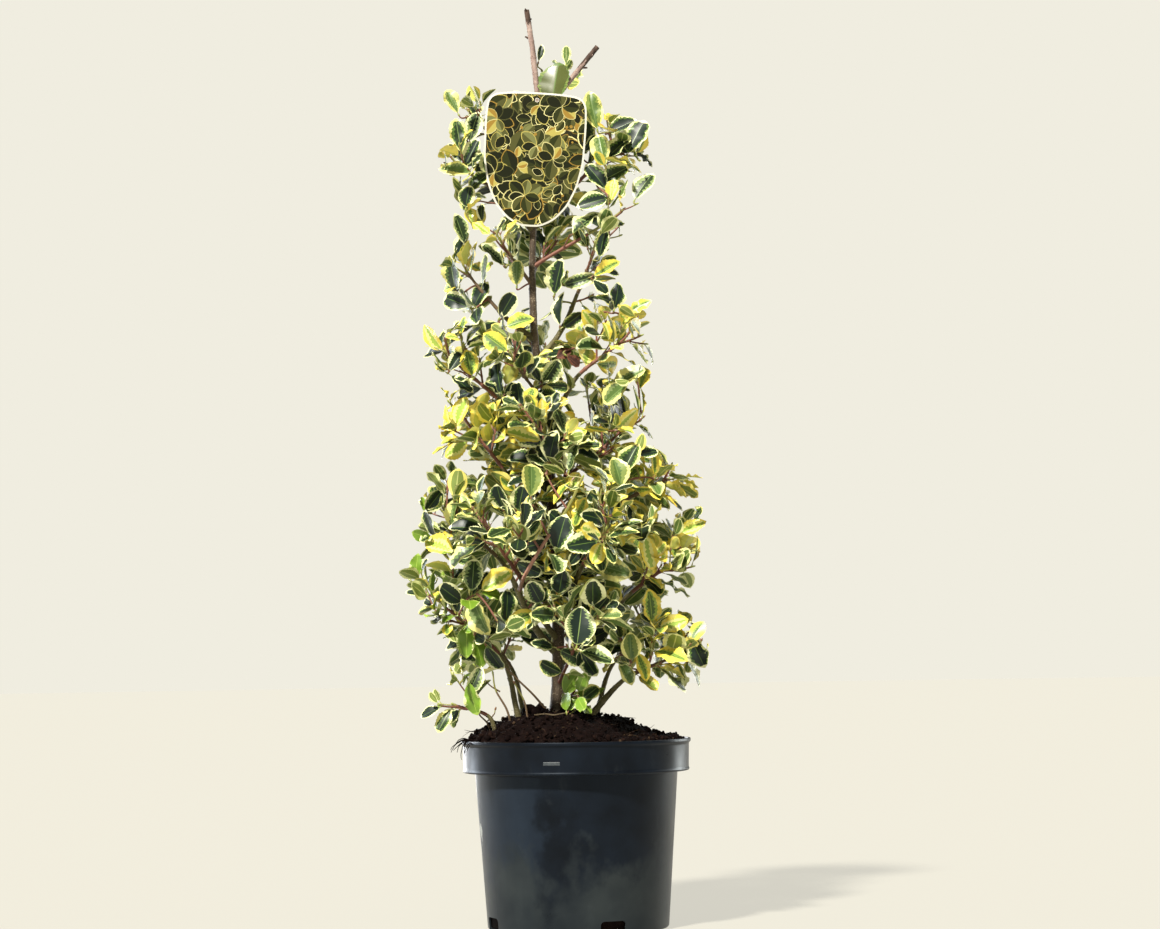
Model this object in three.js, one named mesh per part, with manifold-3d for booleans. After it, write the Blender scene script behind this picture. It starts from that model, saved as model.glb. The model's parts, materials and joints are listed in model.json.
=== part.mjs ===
// A young variegated highclere holly in its nursery pot: pot, compost, trunk, boughs, leafy sprays and label.
// Millimetres, +Z up, origin at the centre of the pot's foot; the face of the plant looks towards -Y.
import * as THREE from "three";
import { mergeVertices } from "three/addons/utils/BufferGeometryUtils.js";
import Module from "manifold-3d";

const wasm = await Module();
wasm.setup();
const { Manifold } = wasm;

// Driving dimensions
const GAP = 0.35; // clearance between neighbouring solids
const FINEST = 0.04; // shortest edge kept where solids are fused
const GRID = 0.001; // corners are rounded to this
const POT = {
  height: 230,
  footRadius: 111.5,
  neckRadius: 125,
  neckHeight: 190,
  collarRadius: 139,
  bead: 0.9, // how far the collar's two rims stand out
  lipRadius: 142,
  wall: 2.6,
  floor: 3.4,
  sides: 32,
  slots: 4,
  slotWidth: 32,
  slotHeight: 17,
  slotCorner: 4.5,
  slotDepth: 26,
  firstSlot: 22, // degrees round from the front
};
const SOIL = {
  edge: 228,
  mound: 36,
  centre: [-22, 0],
  spread: 98,
  power: 2.8,
  shoulder: { at: [68, -6], height: 6, spread: 30 },
  lumps: 1.6,
  verge: 12, // width of the level margin along the pot
  rings: [0.92, 0.8, 0.62, 0.42, 0.22, 0], // shares of the edge's radius where the mound has corners
};
const TRUNK = {
  // points on the axis, from the cut in the compost to the pruned tip
  axis: [
    [-23, 0, 238],
    [-20, 3, 374],
    [-25, 5, 505],
    [-31, 3, 650],
    [-43, 0, 715],
    [-46, -2, 780],
    [-45, 0, 855],
    [-36, 2, 1000],
    [-41, 1, 1086],
    [-49, -3, 1149],
  ],
  footRadius: 8.8,
  tipRadius: 2.7,
  taper: 0.62, // under 1, the trunk thins quickly low down and slowly near the top
  flare: 3.8,
  flareHeight: 14,
  sides: 8,
  steps: 20,
};
const BOUGH = {
  radius: 3.7,
  tip: 2.5,
  sides: 6,
  steps: 5,
  rise: 0.75, // slope at which it leaves the trunk
  soilRise: 2.2, // and at which it leaves the compost
  sunk: 22, // depth of a foot in the compost
  spring: 0.4, // shares of its length over which its two ends keep their direction
  settle: 0.3,
  carry: 0.3, // how much of its slope it passes on to its spray
};
const SPUR = { leaves: 1004, bend: [-19, 2, 1031], tip: [40, 0, 1101], radius: 2.9, end: 2.5 };
const TWIG = {
  stem: 2.6,
  side: 1.5,
  end: 1.2,
  sides: 3,
  steps: 3,
  spring: 0.35,
  settle: 0.3,
  upturn: 0.5,
  lean: 0.7, // of a side twig along its stem
  lift: 0.4,
  shortest: 15,
};
const LEAF = {
  length: 50,
  vary: 0.36, // spread of lengths about the mean
  width: 0.62, // of the length, as are the next three
  thick: 0.034,
  cup: 0.06,
  arch: 0.1,
  middle: 0.45, // where along the blade it is thickest
  smallest: 0.68, // share of full size for the young leaves at a twig's end
  lean: 0.5, // along its twig
  tipLean: 0.85,
  lift: 0.18,
  stray: 0.5, // chance spread of its direction
  faceAlong: 0.4, // what its upper face turns to: its twig's end, the sky, out of the crown, and chance
  faceUp: 0.4,
  faceOut: 0.4,
  faceStray: 1.5,
  apart: 2.4, // least distance between two blades
  // corners round the rim: share of the way along, and of the width to either side
  rim: [
    [0, 0],
    [0.1, -0.04],
    [0.34, -0.46],
    [0.75, -0.41],
    [1, 0],
    [0.75, 0.41],
    [0.34, 0.46],
    [0.1, 0.04],
  ],
};
const SPRAY = {
  firstLeaf: 7, // distance of the first leaf from a bough's tip
  firstOnTrunk: 18, // and from the trunk's axis
  leafGap: 22, // between leaves along the stem
  twigGap: 33, // between side twigs along the stem
  sideLeafGap: 18,
  sideBare: 0.42, // share of a side twig without leaves
  rosette: 3, // leaves round each twig's end
  ring: 3.2, // step between those leaves
  turn: THREE.MathUtils.degToRad(137.5),
  tries: 6, // times that a leaf or twig is turned to find room
  pad: 0.7, // how far a spray's space runs past its stem's ends, in leaf lengths
  margin: 0.025, // share of a spray's size that it stays back from its neighbours
  limbGap: 2.6,
  soilGap: 4,
};
const LABEL = {
  height: 170,
  halfWidth: 64,
  thick: 1.2,
  aboveHook: 2,
  hook: 1036, // height of the ring round the trunk
  front: 16.8, // how far the card hangs in front of the trunk's axis
  ring: 0.8,
  tilt: 4, // degrees
  room: 7, // free space kept round the card
  // right-hand edge from the top: shares of the half-width and of the height
  edge: [
    [0, -0.012],
    [0.45, -0.008],
    [0.8, 0.005],
    [0.93, 0.03],
    [0.985, 0.08],
    [1, 0.22],
    [0.985, 0.5],
    [0.88, 0.69],
    [0.71, 0.835],
    [0.47, 0.94],
    [0.19, 0.995],
  ],
};

// Each spray springs from the tip of its bough, or from the trunk where it has no bough.
// soil: where its bough stands in the compost; leaves: height at which it parts from the trunk;
// tip: the bough's end; far: the spray's furthest point; width: half-width of its space.
const SPRAYS = [
  { name: "low_left", soil: [-63, -20], tip: [-93, -24, 336], far: [-196, -40, 436], width: 68, radius: 4.2 },
  { name: "sucker", soil: [-94, -42], tip: [-108, -50, 262], far: [-176, -60, 288], width: 46, radius: 2.6 },
  { name: "low_right", soil: [-2, -20], rise: 0.8, tip: [66, -34, 306], far: [154, -46, 350], width: 64, radius: 5.2 },
  { name: "low_front", leaves: 296, far: [18, -138, 392], width: 78 },
  { name: "low_back_left", soil: [-60, 34], tip: [-80, 60, 318], far: [-134, 128, 396], width: 80 },
  { name: "low_back_right", soil: [18, 30], rise: 1.8, tip: [48, 56, 322], far: [110, 120, 396], width: 80 },
  { name: "foot_shoot", leaves: 268, far: [12, -62, 306], width: 44 },
  { name: "left", leaves: 336, tip: [-94, -14, 456], far: [-186, -26, 538], width: 68, radius: 5.2 },
  { name: "front_left", leaves: 352, tip: [-66, -52, 430], far: [-106, -138, 498], width: 80 },
  { name: "front_right", leaves: 372, tip: [12, -50, 444], far: [54, -142, 510], width: 80 },
  { name: "right", leaves: 322, tip: [72, -8, 410], far: [158, -16, 478], width: 66, radius: 4.6 },
  { name: "back_right", leaves: 362, tip: [32, 54, 442], far: [94, 134, 512], width: 80 },
  { name: "back_left", leaves: 384, tip: [-76, 52, 450], far: [-118, 138, 520], width: 80 },
  { name: "mid_left", leaves: 470, tip: [-86, -14, 566], far: [-150, -26, 656], width: 62 },
  { name: "mid_front", leaves: 536, far: [-34, -116, 630], width: 74 },
  { name: "mid_right", leaves: 440, tip: [60, 0, 522], far: [152, -2, 572], width: 62 },
  { name: "mid_right_up", leaves: 540, far: [90, -16, 640], width: 60 },
  { name: "mid_back_left", leaves: 515, tip: [-70, 40, 572], far: [-108, 114, 648], width: 72 },
  { name: "mid_back_right", leaves: 525, tip: [4, 38, 580], far: [38, 116, 654], width: 72 },
  { name: "upper_left", leaves: 590, tip: [-92, -12, 654], far: [-180, -18, 740], width: 54 },
  { name: "upper_front", leaves: 645, far: [-86, -70, 724], width: 58 },
  { name: "upper_right", leaves: 628, tip: [12, -8, 684], far: [94, -22, 750], width: 62 },
  { name: "upper_back", leaves: 655, far: [-34, 92, 746], width: 70 },
  { name: "high_left", leaves: 728, tip: [-90, -8, 766], far: [-148, -16, 844], width: 54 },
  { name: "high_left_up", leaves: 796, far: [-108, -24, 890], width: 50 },
  { name: "high_right", leaves: 705, tip: [10, 2, 786], far: [48, -8, 886], width: 54 },
  { name: "high_back", leaves: 806, far: [-30, 82, 886], width: 62 },
  { name: "crown_left", leaves: 868, tip: [-82, 0, 912], far: [-166, -4, 976], width: 50 },
  { name: "crown_left_up", leaves: 950, far: [-144, 12, 1040], width: 46 },
  { name: "crown_right", leaves: 872, tip: [8, 6, 924], far: [84, 2, 1004], width: 58 },
  { name: "crown_right_low", leaves: 820, far: [106, -16, 920], width: 34 },
  { name: "crown_back", leaves: 912, far: [-34, 80, 992], width: 62 },
  { name: "crown_top", leaves: 1046, far: [-10, 36, 1090], width: 46 },
];

const COLOURS = {
  pot: 0x20262c,
  soil: 0x2b1c17,
  bark: 0x5d5340,
  youngBark: 0x6b6445,
  leaf: 0x6f8a3a,
  label: 0xf1f0e6,
};

// Numbers and directions
const UP = new THREE.Vector3(0, 0, 1);
const vector = (p) => new THREE.Vector3(...p);

// A seeded stream of numbers from 0 to 1.
function stream(seed) {
  let state = seed >>> 0;
  return () => {
    state = (state + 0x6d2b79f5) >>> 0;
    let t = state;
    t = Math.imul(t ^ (t >>> 15), t | 1);
    t ^= t + Math.imul(t ^ (t >>> 7), t | 61);
    return ((t ^ (t >>> 14)) >>> 0) / 4294967296;
  };
}

// A chance offset of up to half the given size along each axis.
function strayBy(size, random) {
  return new THREE.Vector3(random() - 0.5, random() - 0.5, random() - 0.5).multiplyScalar(size);
}

// The part of a that is square to the unit vector b, as a unit vector.
function squareTo(a, b) {
  const left = a.clone().addScaledVector(b, -a.dot(b));
  if (left.lengthSq() < 1e-8) left.set(b.y, -b.x, 0);
  return left.normalize();
}

// Solids and meshes
// Corners snapped to a fine grid and joined where they coincide, without the faces that collapse.
function joinCorners(positions, corners) {
  const snapped = positions.map((value) => Math.round(value / GRID) * GRID);
  const geometry = new THREE.BufferGeometry();
  geometry.setAttribute("position", new THREE.Float32BufferAttribute(snapped, 3));
  if (corners) geometry.setIndex(corners);
  const merged = mergeVertices(geometry, GRID);
  const joined = merged.index.array;
  const faces = [];
  for (let i = 0; i < joined.length; i += 3) {
    const [a, b, c] = [joined[i], joined[i + 1], joined[i + 2]];
    if (a !== b && b !== c && c !== a) faces.push(a, b, c);
  }
  return { vertProperties: new Float32Array(merged.getAttribute("position").array), faces };
}

function solidFrom({ vertProperties, faces }) {
  return new Manifold(new wasm.Mesh({ numProp: 3, vertProperties, triVerts: new Uint32Array(faces) }));
}

// A closed geometry as a solid with its faces pointing out.
function solidOf(geometry) {
  const corners = geometry.index ? Array.from(geometry.index.array) : null;
  const { vertProperties, faces } = joinCorners(Array.from(geometry.getAttribute("position").array), corners);
  const made = solidFrom({ vertProperties, faces });
  return made.volume() > 0 ? made : solidFrom({ vertProperties, faces: faces.reverse() });
}

// The largest body of a solid, without loose scraps, sealed hollows or slivers.
function largestBody(solid) {
  const bodies = solid.asOriginal().simplify(FINEST).decompose();
  return bodies.reduce((best, body) => (body.volume() > best.volume() ? body : best));
}

// Whether every edge joins exactly two faces.
function isSealed(faces) {
  const uses = new Map();
  faces.forEach((corner, i) => {
    const next = faces[i % 3 === 2 ? i - 2 : i + 1];
    const edge = `${Math.min(corner, next)} ${Math.max(corner, next)}`;
    uses.set(edge, (uses.get(edge) ?? 0) + 1);
  });
  return [...uses.values()].every((count) => count === 2);
}

function cornersOf(solid) {
  const { vertProperties, triVerts } = solid.getMesh();
  return joinCorners(Array.from(vertProperties), Array.from(triVerts));
}

// A named mesh of a solid; where two folds of its surface touch, they are fused first.
function meshOf(name, solid, material) {
  let corners = cornersOf(solid);
  for (let pass = 0; pass < 6 && !isSealed(corners.faces); pass++) {
    corners = cornersOf(largestBody(solidFrom(corners)));
  }
  const geometry = new THREE.BufferGeometry();
  geometry.setAttribute("position", new THREE.BufferAttribute(corners.vertProperties, 3));
  geometry.setIndex(corners.faces);
  geometry.computeVertexNormals();
  const mesh = new THREE.Mesh(geometry, material);
  mesh.name = name;
  return mesh;
}

// A cylinder bent along a curve, its radius a function of the share of the way along.
// first and last, where given, are the directions that its ends are square to.
function bentCylinder(curve, radiusAt, sides, steps, first, last) {
  const geometry = new THREE.CylinderGeometry(1, 1, 1, sides, steps);
  const rings = [];
  let side = new THREE.Vector3(0.31, 1, 0.17);
  for (let i = 0; i <= steps; i++) {
    let along = curve.getTangent(i / steps);
    if (i === 0 && first) along = first;
    if (i === steps && last) along = last;
    side = squareTo(side, along);
    rings.push({ at: curve.getPoint(i / steps), side, across: new THREE.Vector3().crossVectors(side, along) });
  }
  const position = geometry.getAttribute("position");
  for (let i = 0; i < position.count; i++) {
    const ring = Math.round((position.getY(i) + 0.5) * steps);
    const radius = radiusAt(ring / steps);
    const bent = rings[ring].at
      .clone()
      .addScaledVector(rings[ring].side, position.getX(i) * radius)
      .addScaledVector(rings[ring].across, position.getZ(i) * radius);
    position.setXYZ(i, bent.x, bent.y, bent.z);
  }
  return geometry;
}

// Pot and compost
const spin = (profile) => {
  const points = profile.map(([radius, height]) => new THREE.Vector2(radius, height));
  return new THREE.LatheGeometry(points, POT.sides).rotateX(Math.PI / 2);
};

function potOutside() {
  const { footRadius, neckRadius, neckHeight, collarRadius, bead, lipRadius, height } = POT;
  return [
    [footRadius - 1.5, 0],
    [footRadius, 2],
    [neckRadius, neckHeight],
    [collarRadius, neckHeight + 0.8],
    [collarRadius + bead, neckHeight + 2.6],
    [collarRadius, neckHeight + 5],
    [collarRadius + bead, height - 5.5],
    [lipRadius, height - 3.6],
    [lipRadius - 0.3, height],
  ];
}

function potInside() {
  const { footRadius, neckRadius, neckHeight, collarRadius, height, wall, floor } = POT;
  return [
    [collarRadius - 0.4, height],
    [collarRadius - wall, neckHeight + 4.2],
    [neckRadius - wall, neckHeight + 3.4],
    [footRadius - wall + 0.4, floor],
  ];
}

function potSolid() {
  const { footRadius, floor, slots, slotWidth, slotHeight, slotCorner, slotDepth, firstSlot } = POT;
  let pot = solidOf(spin([[0, 0], ...potOutside(), ...potInside(), [0, floor]]));
  const half = slotWidth / 2;
  const arch = new THREE.Shape();
  arch.moveTo(-half, -1);
  arch.lineTo(half, -1);
  arch.lineTo(half, slotHeight - slotCorner);
  arch.lineTo(half - slotCorner, slotHeight);
  arch.lineTo(slotCorner - half, slotHeight);
  arch.lineTo(-half, slotHeight - slotCorner);
  for (let i = 0; i < slots; i++) {
    const cutter = new THREE.ExtrudeGeometry(arch, { depth: slotDepth, bevelEnabled: false });
    cutter.rotateX(Math.PI / 2).translate(0, slotDepth / 2 - footRadius, 0);
    cutter.rotateZ(THREE.MathUtils.degToRad(firstSlot + (360 / slots) * i));
    pot = pot.subtract(solidOf(cutter));
  }
  return largestBody(pot);
}

// Height of the compost at a place in the pot.
function soilTop(x, y) {
  const fromWall = (POT.collarRadius - POT.wall - Math.hypot(x, y)) / SOIL.verge;
  const inside = Math.min(1, Math.max(0, fromWall));
  const fromCentre = Math.hypot(x - SOIL.centre[0], y - SOIL.centre[1]) / SOIL.spread;
  const { at, height, spread } = SOIL.shoulder;
  const toShoulder = Math.hypot(x - at[0], y - at[1]) / spread;
  const lumps = Math.sin(x * 0.11 + 1.3) * Math.cos(y * 0.13) + 0.7 * Math.sin(x * 0.23 - y * 0.19);
  const rise = SOIL.mound * Math.exp(-(fromCentre ** SOIL.power)) + height * Math.exp(-(toShoulder ** 2));
  return SOIL.edge + inside * (rise + SOIL.lumps * lumps);
}

// The compost fills the pot, with a pocket for each limb that stands in it.
function soilSolid(sunkLimbs) {
  const floor = POT.floor + GAP;
  const [, collar, neck, foot] = potInside();
  const edge = collar[0] - GAP;
  const mound = SOIL.rings.map((ring) => [edge * ring, POT.height + SOIL.mound]);
  const geometry = spin([
    [0, floor],
    [foot[0] - GAP, floor],
    [neck[0] - GAP, neck[1] + GAP],
    [edge - 0.4, collar[1] + 1],
    [edge, SOIL.edge],
    ...mound,
  ]);
  const position = geometry.getAttribute("position");
  for (let i = 0; i < position.count; i++) {
    if (position.getZ(i) > POT.height) position.setZ(i, soilTop(position.getX(i), position.getY(i)));
  }
  const pockets = sunkLimbs.flatMap((limb) => [limb.grown, limb.grown.translate(0, 0, -GAP)]);
  return largestBody(pockets.reduce((soil, pocket) => soil.subtract(pocket), solidOf(geometry)));
}

// Trunk, boughs and the pruned side shoot
const trunkCurve = new THREE.CatmullRomCurve3(TRUNK.axis.map(vector), false, "catmullrom", 0.5);

function trunkRadius(share) {
  const thin = TRUNK.footRadius + (TRUNK.tipRadius - TRUNK.footRadius) * share ** TRUNK.taper;
  const above = trunkCurve.getPoint(share).z - (TRUNK.axis[0][2] + BOUGH.sunk);
  return thin + TRUNK.flare * Math.exp(-Math.max(0, above) / TRUNK.flareHeight);
}

// The trunk's axis and radius at a height.
function trunkAt(height) {
  let [low, high] = [0, 1];
  for (let i = 0; i < 30; i++) {
    const middle = (low + high) / 2;
    if (trunkCurve.getPoint(middle).z < height) low = middle;
    else high = middle;
  }
  return { at: trunkCurve.getPoint(low), radius: trunkRadius(low) };
}

// A tapering limb, with a copy grown by the clearance for cutting its neighbours.
function limbOf(curve, radiusAt, sides, steps, first, last) {
  const made = (extra) => solidOf(bentCylinder(curve, (t) => radiusAt(t) + extra, sides, steps, first, last));
  return { curve, radiusAt, solid: made(0), grown: made(GAP) };
}

const trunk = limbOf(trunkCurve, trunkRadius, TRUNK.sides, TRUNK.steps, UP);

const tapering = (from, to) => (share) => from + (to - from) * share;

// Where a spray's wood starts, the bough's end and the direction in which the spray goes on.
function routeOf(row) {
  const far = vector(row.far);
  if (!row.tip) {
    const foot = trunkAt(row.leaves).at;
    return { foot, start: foot, far, heading: far.clone().sub(foot).normalize() };
  }
  const foot = row.soil
    ? new THREE.Vector3(...row.soil, soilTop(...row.soil) - BOUGH.sunk)
    : trunkAt(row.leaves).at;
  const start = vector(row.tip);
  const slope = start.clone().sub(foot).normalize();
  const heading = far.clone().sub(start).normalize().addScaledVector(slope, BOUGH.carry).normalize();
  return { foot, start, far, heading };
}

function boughOf(row) {
  const { foot, start, heading } = routeOf(row);
  const span = start.distanceTo(foot);
  const level = new THREE.Vector3(start.x - foot.x, start.y - foot.y, 0).normalize();
  const rise = row.rise ?? (row.soil ? BOUGH.soilRise : BOUGH.rise);
  const leave = level.addScaledVector(UP, rise).normalize();
  const curve = new THREE.CubicBezierCurve3(
    foot,
    foot.clone().addScaledVector(leave, span * BOUGH.spring),
    start.clone().addScaledVector(heading, -span * BOUGH.settle),
    start,
  );
  const radiusAt = tapering(row.radius ?? BOUGH.radius, BOUGH.tip);
  const bough = limbOf(curve, radiusAt, BOUGH.sides, BOUGH.steps, null, heading);
  return { ...bough, row, solid: row.soil ? bough.solid : largestBody(bough.solid.subtract(trunk.grown)) };
}

function spurOf() {
  const curve = new THREE.QuadraticBezierCurve3(trunkAt(SPUR.leaves).at, vector(SPUR.bend), vector(SPUR.tip));
  const spur = limbOf(curve, tapering(SPUR.radius, SPUR.end), BOUGH.sides, BOUGH.steps);
  return { ...spur, solid: largestBody(spur.solid.subtract(trunk.grown)) };
}

const boughs = SPRAYS.filter((row) => row.tip).map(boughOf);
const spur = spurOf();

// Points along a limb with its radius there.
function alongLimb({ curve, radiusAt }, step) {
  const count = Math.ceil(curve.getLength() / step);
  return Array.from({ length: count + 1 }, (_, i) => {
    const share = i / count;
    return { at: curve.getPoint(share), radius: radiusAt(share) };
  });
}

// The ring round the trunk that the label hangs from
const hook = trunkAt(LABEL.hook);
const ringBack = hook.radius + GAP + LABEL.ring;
const ringRadius = (ringBack + LABEL.front) / 2;
const ringMiddle = hook.at.clone().add(new THREE.Vector3(0, ringBack - ringRadius, 0));
const ringPoints = new THREE.EllipseCurve(ringMiddle.x, ringMiddle.y, ringRadius, ringRadius)
  .getPoints(16)
  .map(({ x, y }) => ({ at: new THREE.Vector3(x, y, LABEL.hook), radius: LABEL.ring }));

// Stems of the sprays and the spaces that they keep to
// A stem carries on from its bough's tip, or springs from the trunk's axis.
function stemOf(row) {
  const { start, far, heading } = routeOf(row);
  const begin = row.tip ? start.clone().addScaledVector(heading, GAP) : start;
  const reach = far.clone().sub(begin).normalize();
  const end = far.clone().addScaledVector(reach, -LEAF.length / 2);
  const span = end.distanceTo(begin);
  const finish = reach.addScaledVector(UP, TWIG.upturn).normalize();
  const curve = new THREE.CubicBezierCurve3(
    begin,
    begin.clone().addScaledVector(heading, span * TWIG.spring),
    end.clone().addScaledVector(finish, -span * TWIG.settle),
    end,
  );
  const radiusAt = tapering(row.tip ? BOUGH.tip : TWIG.stem, TWIG.end);
  return { curve, radiusAt, steps: TWIG.steps, heading, span };
}

function spaceOf(row) {
  const { start, far } = routeOf(row);
  const axis = far.clone().sub(start);
  const length = axis.length();
  return { from: start, axis: axis.normalize(), length, width: row.width };
}

const stems = SPRAYS.map(stemOf);
const spaces = SPRAYS.map(spaceOf);

// What leaves and twigs keep clear of; owner is the spray that a stem belongs to.
const obstacles = [
  ...[trunk, ...boughs, spur].flatMap((limb) => alongLimb(limb, 5)),
  ...ringPoints,
  ...stems.flatMap((stem, owner) => alongLimb(stem, 5).map((point) => ({ ...point, owner }))),
];

// How far out in a spray's space a point lies: 0 at its middle and 1 at its rim.
function depthIn(space, point) {
  const offset = point.clone().sub(space.from);
  const along = offset.dot(space.axis);
  const aside = Math.sqrt(Math.max(0, offset.lengthSq() - along * along));
  const half = space.length / 2 + LEAF.length * SPRAY.pad;
  return Math.hypot((along - space.length / 2) / half, aside / space.width);
}

// Whether a point is in the free space in front of and just behind the label.
function coversLabel(point) {
  const drop = LABEL.hook + LABEL.aboveHook - point.z;
  const behind = point.y - (hook.at.y - LABEL.front);
  const aside = Math.abs(point.x - hook.at.x) - LABEL.halfWidth;
  if (drop < -LABEL.room || drop > LABEL.height - LABEL.room) return false;
  return behind < LABEL.room && aside < LABEL.room / 2;
}

// Whether a point is in a spray's own space, above the compost and clear of every limb.
function isFree(point, index) {
  if (point.z < soilTop(point.x, point.y) + SPRAY.soilGap || coversLabel(point)) return false;
  const depth = depthIn(spaces[index], point);
  if (depth > 1) return false;
  if (spaces.some((space, i) => i !== index && depthIn(space, point) < depth + SPRAY.margin)) return false;
  return obstacles.every(
    ({ at, radius, owner }) => owner === index || at.distanceTo(point) > radius + SPRAY.limbGap,
  );
}

// Leaves
// A place on a blade that is cupped across and arched along.
function leafPoint(leaf, along, across) {
  const rise = LEAF.cup * Math.abs(across) * 2 - LEAF.arch * along * along;
  return leaf.base
    .clone()
    .addScaledVector(leaf.heading, along * leaf.length)
    .addScaledVector(leaf.side, across * leaf.width)
    .addScaledVector(leaf.normal, rise * leaf.length);
}

// Places on a blade that are tested against what is round it.
const PROBES = [0.12, 0.35, 0.6, 0.85, 1].flatMap((along) => {
  const half = Math.sqrt(along - along * along);
  return [-half, 0, half].map((across) => [along, across]);
});

// Whether a point lies on a leaf's blade or within some room of it; the stalk doesn't count.
function isOnBlade(leaf, point, room) {
  const offset = point.clone().sub(leaf.base);
  const run = offset.dot(leaf.heading) / leaf.length;
  const aside = Math.abs(offset.dot(leaf.side)) / leaf.width;
  const rise = LEAF.cup * aside * 2 - LEAF.arch * run * run;
  const above = Math.abs(offset.dot(leaf.normal) - rise * leaf.length);
  return run > 0.18 && run < 1.04 && aside < 0.52 && above < room;
}

function bladesCross(leaf, other) {
  if (leaf.base.distanceTo(other.base) > leaf.length + other.length) return false;
  const cuts = (one, two) =>
    PROBES.some(([along, across]) => along > 0.3 && isOnBlade(two, leafPoint(one, along, across), LEAF.apart));
  return cuts(leaf, other) || cuts(other, leaf);
}

// A stalked leaf as a thin closed wedge: eight corners round its rim and a raised middle.
function leafSolid(leaf) {
  const rim = LEAF.rim.map(([along, across]) => leafPoint(leaf, along, across));
  const middle = leafPoint(leaf, LEAF.middle, 0).addScaledVector(leaf.normal, LEAF.thick * leaf.length);
  const upper = rim.flatMap((_, i) => [i, (i + 1) % rim.length, rim.length]);
  const lower = [0, 7, 1, 1, 7, 6, 1, 6, 2, 2, 6, 5, 2, 5, 3, 3, 5, 4];
  const geometry = new THREE.BufferGeometry();
  const corners = [...rim, middle].flatMap((corner) => corner.toArray());
  geometry.setAttribute("position", new THREE.Float32BufferAttribute(corners, 3));
  geometry.setIndex([...upper, ...lower]);
  return solidOf(geometry);
}

// A place on the straight runs between a twig's rings, and the direction of that run.
function placeOn({ curve, steps }, share) {
  const run = Math.min(steps - 1, Math.floor(share * steps));
  const [from, to] = [curve.getPoint(run / steps), curve.getPoint((run + 1) / steps)];
  return { at: from.clone().lerp(to, share * steps - run), along: to.sub(from).normalize() };
}

// The direction that leaves a twig at an angle round it.
function sideways(along, angle) {
  const out = squareTo(UP, along);
  const across = new THREE.Vector3().crossVectors(along, out);
  return out.multiplyScalar(Math.cos(angle)).addScaledVector(across, Math.sin(angle));
}

// A leaf leans out from its twig and turns its upper face to the light.
function leafOn({ twig, share, size }, angle, random) {
  const { at: base, along } = placeOn(twig, share);
  const lean = share > 0.97 ? LEAF.tipLean : LEAF.lean;
  const heading = sideways(along, angle).addScaledVector(along, lean).addScaledVector(UP, LEAF.lift);
  heading.add(strayBy(LEAF.stray, random)).normalize();
  const outward = new THREE.Vector3(base.x - SOIL.centre[0], base.y - SOIL.centre[1], 0).normalize();
  const face = strayBy(LEAF.faceStray, random).addScaledVector(along, LEAF.faceAlong);
  face.addScaledVector(UP, LEAF.faceUp).addScaledVector(outward, LEAF.faceOut);
  const normal = squareTo(face, heading);
  const side = new THREE.Vector3().crossVectors(normal, heading);
  const length = LEAF.length * size * (1 + LEAF.vary * (random() - 0.5));
  const width = length * LEAF.width * (1 + (LEAF.vary / 2) * (random() - 0.5));
  return { base, heading, side, normal, length, width };
}

// Where leaves stand on a twig: one by one along it, then a ring of smaller ones at its end.
function leafPlaces(twig, first, gap, size) {
  const length = twig.curve.getLength();
  const places = [];
  for (let along = first; along < length - gap / 2; along += gap) {
    places.push({ twig, share: along / length, size });
  }
  for (let i = 0; i < SPRAY.rosette; i++) {
    places.push({ twig, share: 0.985 - (i * SPRAY.ring) / length, size: size * LEAF.smallest + i / 10 });
  }
  return places;
}

// Sprays of twigs and leaves
// The first of a few seeded tries that passes, or nothing.
function firstThatFits(seed, make, fits) {
  for (let attempt = 0; attempt < SPRAY.tries; attempt++) {
    const found = make(stream(seed * 64 + attempt), attempt);
    if (fits(found)) return found;
  }
  return null;
}

function sideTwig(stem, share, angle, length) {
  const { at, along } = placeOn(stem, share);
  const leave = sideways(along, angle).addScaledVector(along, TWIG.lean).addScaledVector(UP, TWIG.lift);
  const end = at.clone().addScaledVector(leave.normalize(), Math.max(TWIG.shortest, length));
  return { curve: new THREE.LineCurve3(at, end), radiusAt: tapering(TWIG.side, TWIG.end), steps: 1 };
}

// The side twigs of a spray, turned round its stem by the golden angle and shortened where room is scarce.
function planTwigs(row, index) {
  const stem = stems[index];
  const count = Math.max(2, Math.round(stem.span / SPRAY.twigGap));
  const fits = (twig) => [0.35, 0.6, 0.8, 1].every((t) => isFree(placeOn(twig, t).at, index));
  return Array.from({ length: count }, (_, i) => {
    const make = (random, attempt) => {
      const share = (i + 0.5 + 0.4 * random()) / (count + 0.3);
      const length = (row.width - LEAF.length / 3) * (0.8 + 0.4 * random()) * (1 - 0.12 * attempt);
      return sideTwig(stem, share, SPRAY.turn * i + random() * 2 + attempt * 1.1, length);
    };
    return firstThatFits(index * 1000 + i, make, fits);
  }).filter((twig) => twig);
}

function planLeaves(row, index, twigs) {
  const stem = stems[index];
  const wood = [stem, ...twigs].flatMap((twig) => alongLimb(twig, 4));
  const places = leafPlaces(stem, row.tip ? SPRAY.firstLeaf : SPRAY.firstOnTrunk, SPRAY.leafGap, 1);
  for (const twig of twigs) {
    places.push(...leafPlaces(twig, twig.curve.getLength() * SPRAY.sideBare, SPRAY.sideLeafGap, 1));
  }
  const leaves = [];
  const fits = (leaf) =>
    PROBES.every(([along, across]) => isFree(leafPoint(leaf, along, across), index)) &&
    !wood.some(({ at, radius }) => isOnBlade(leaf, at, radius + 1)) &&
    !leaves.some((other) => bladesCross(leaf, other));
  places.forEach((place, i) => {
    const make = (random, attempt) => leafOn(place, SPRAY.turn * i + random() + attempt * 1.05, random);
    const leaf = firstThatFits(index * 1000 + 100 + i, make, fits);
    if (leaf) leaves.push(leaf);
  });
  return leaves;
}

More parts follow.
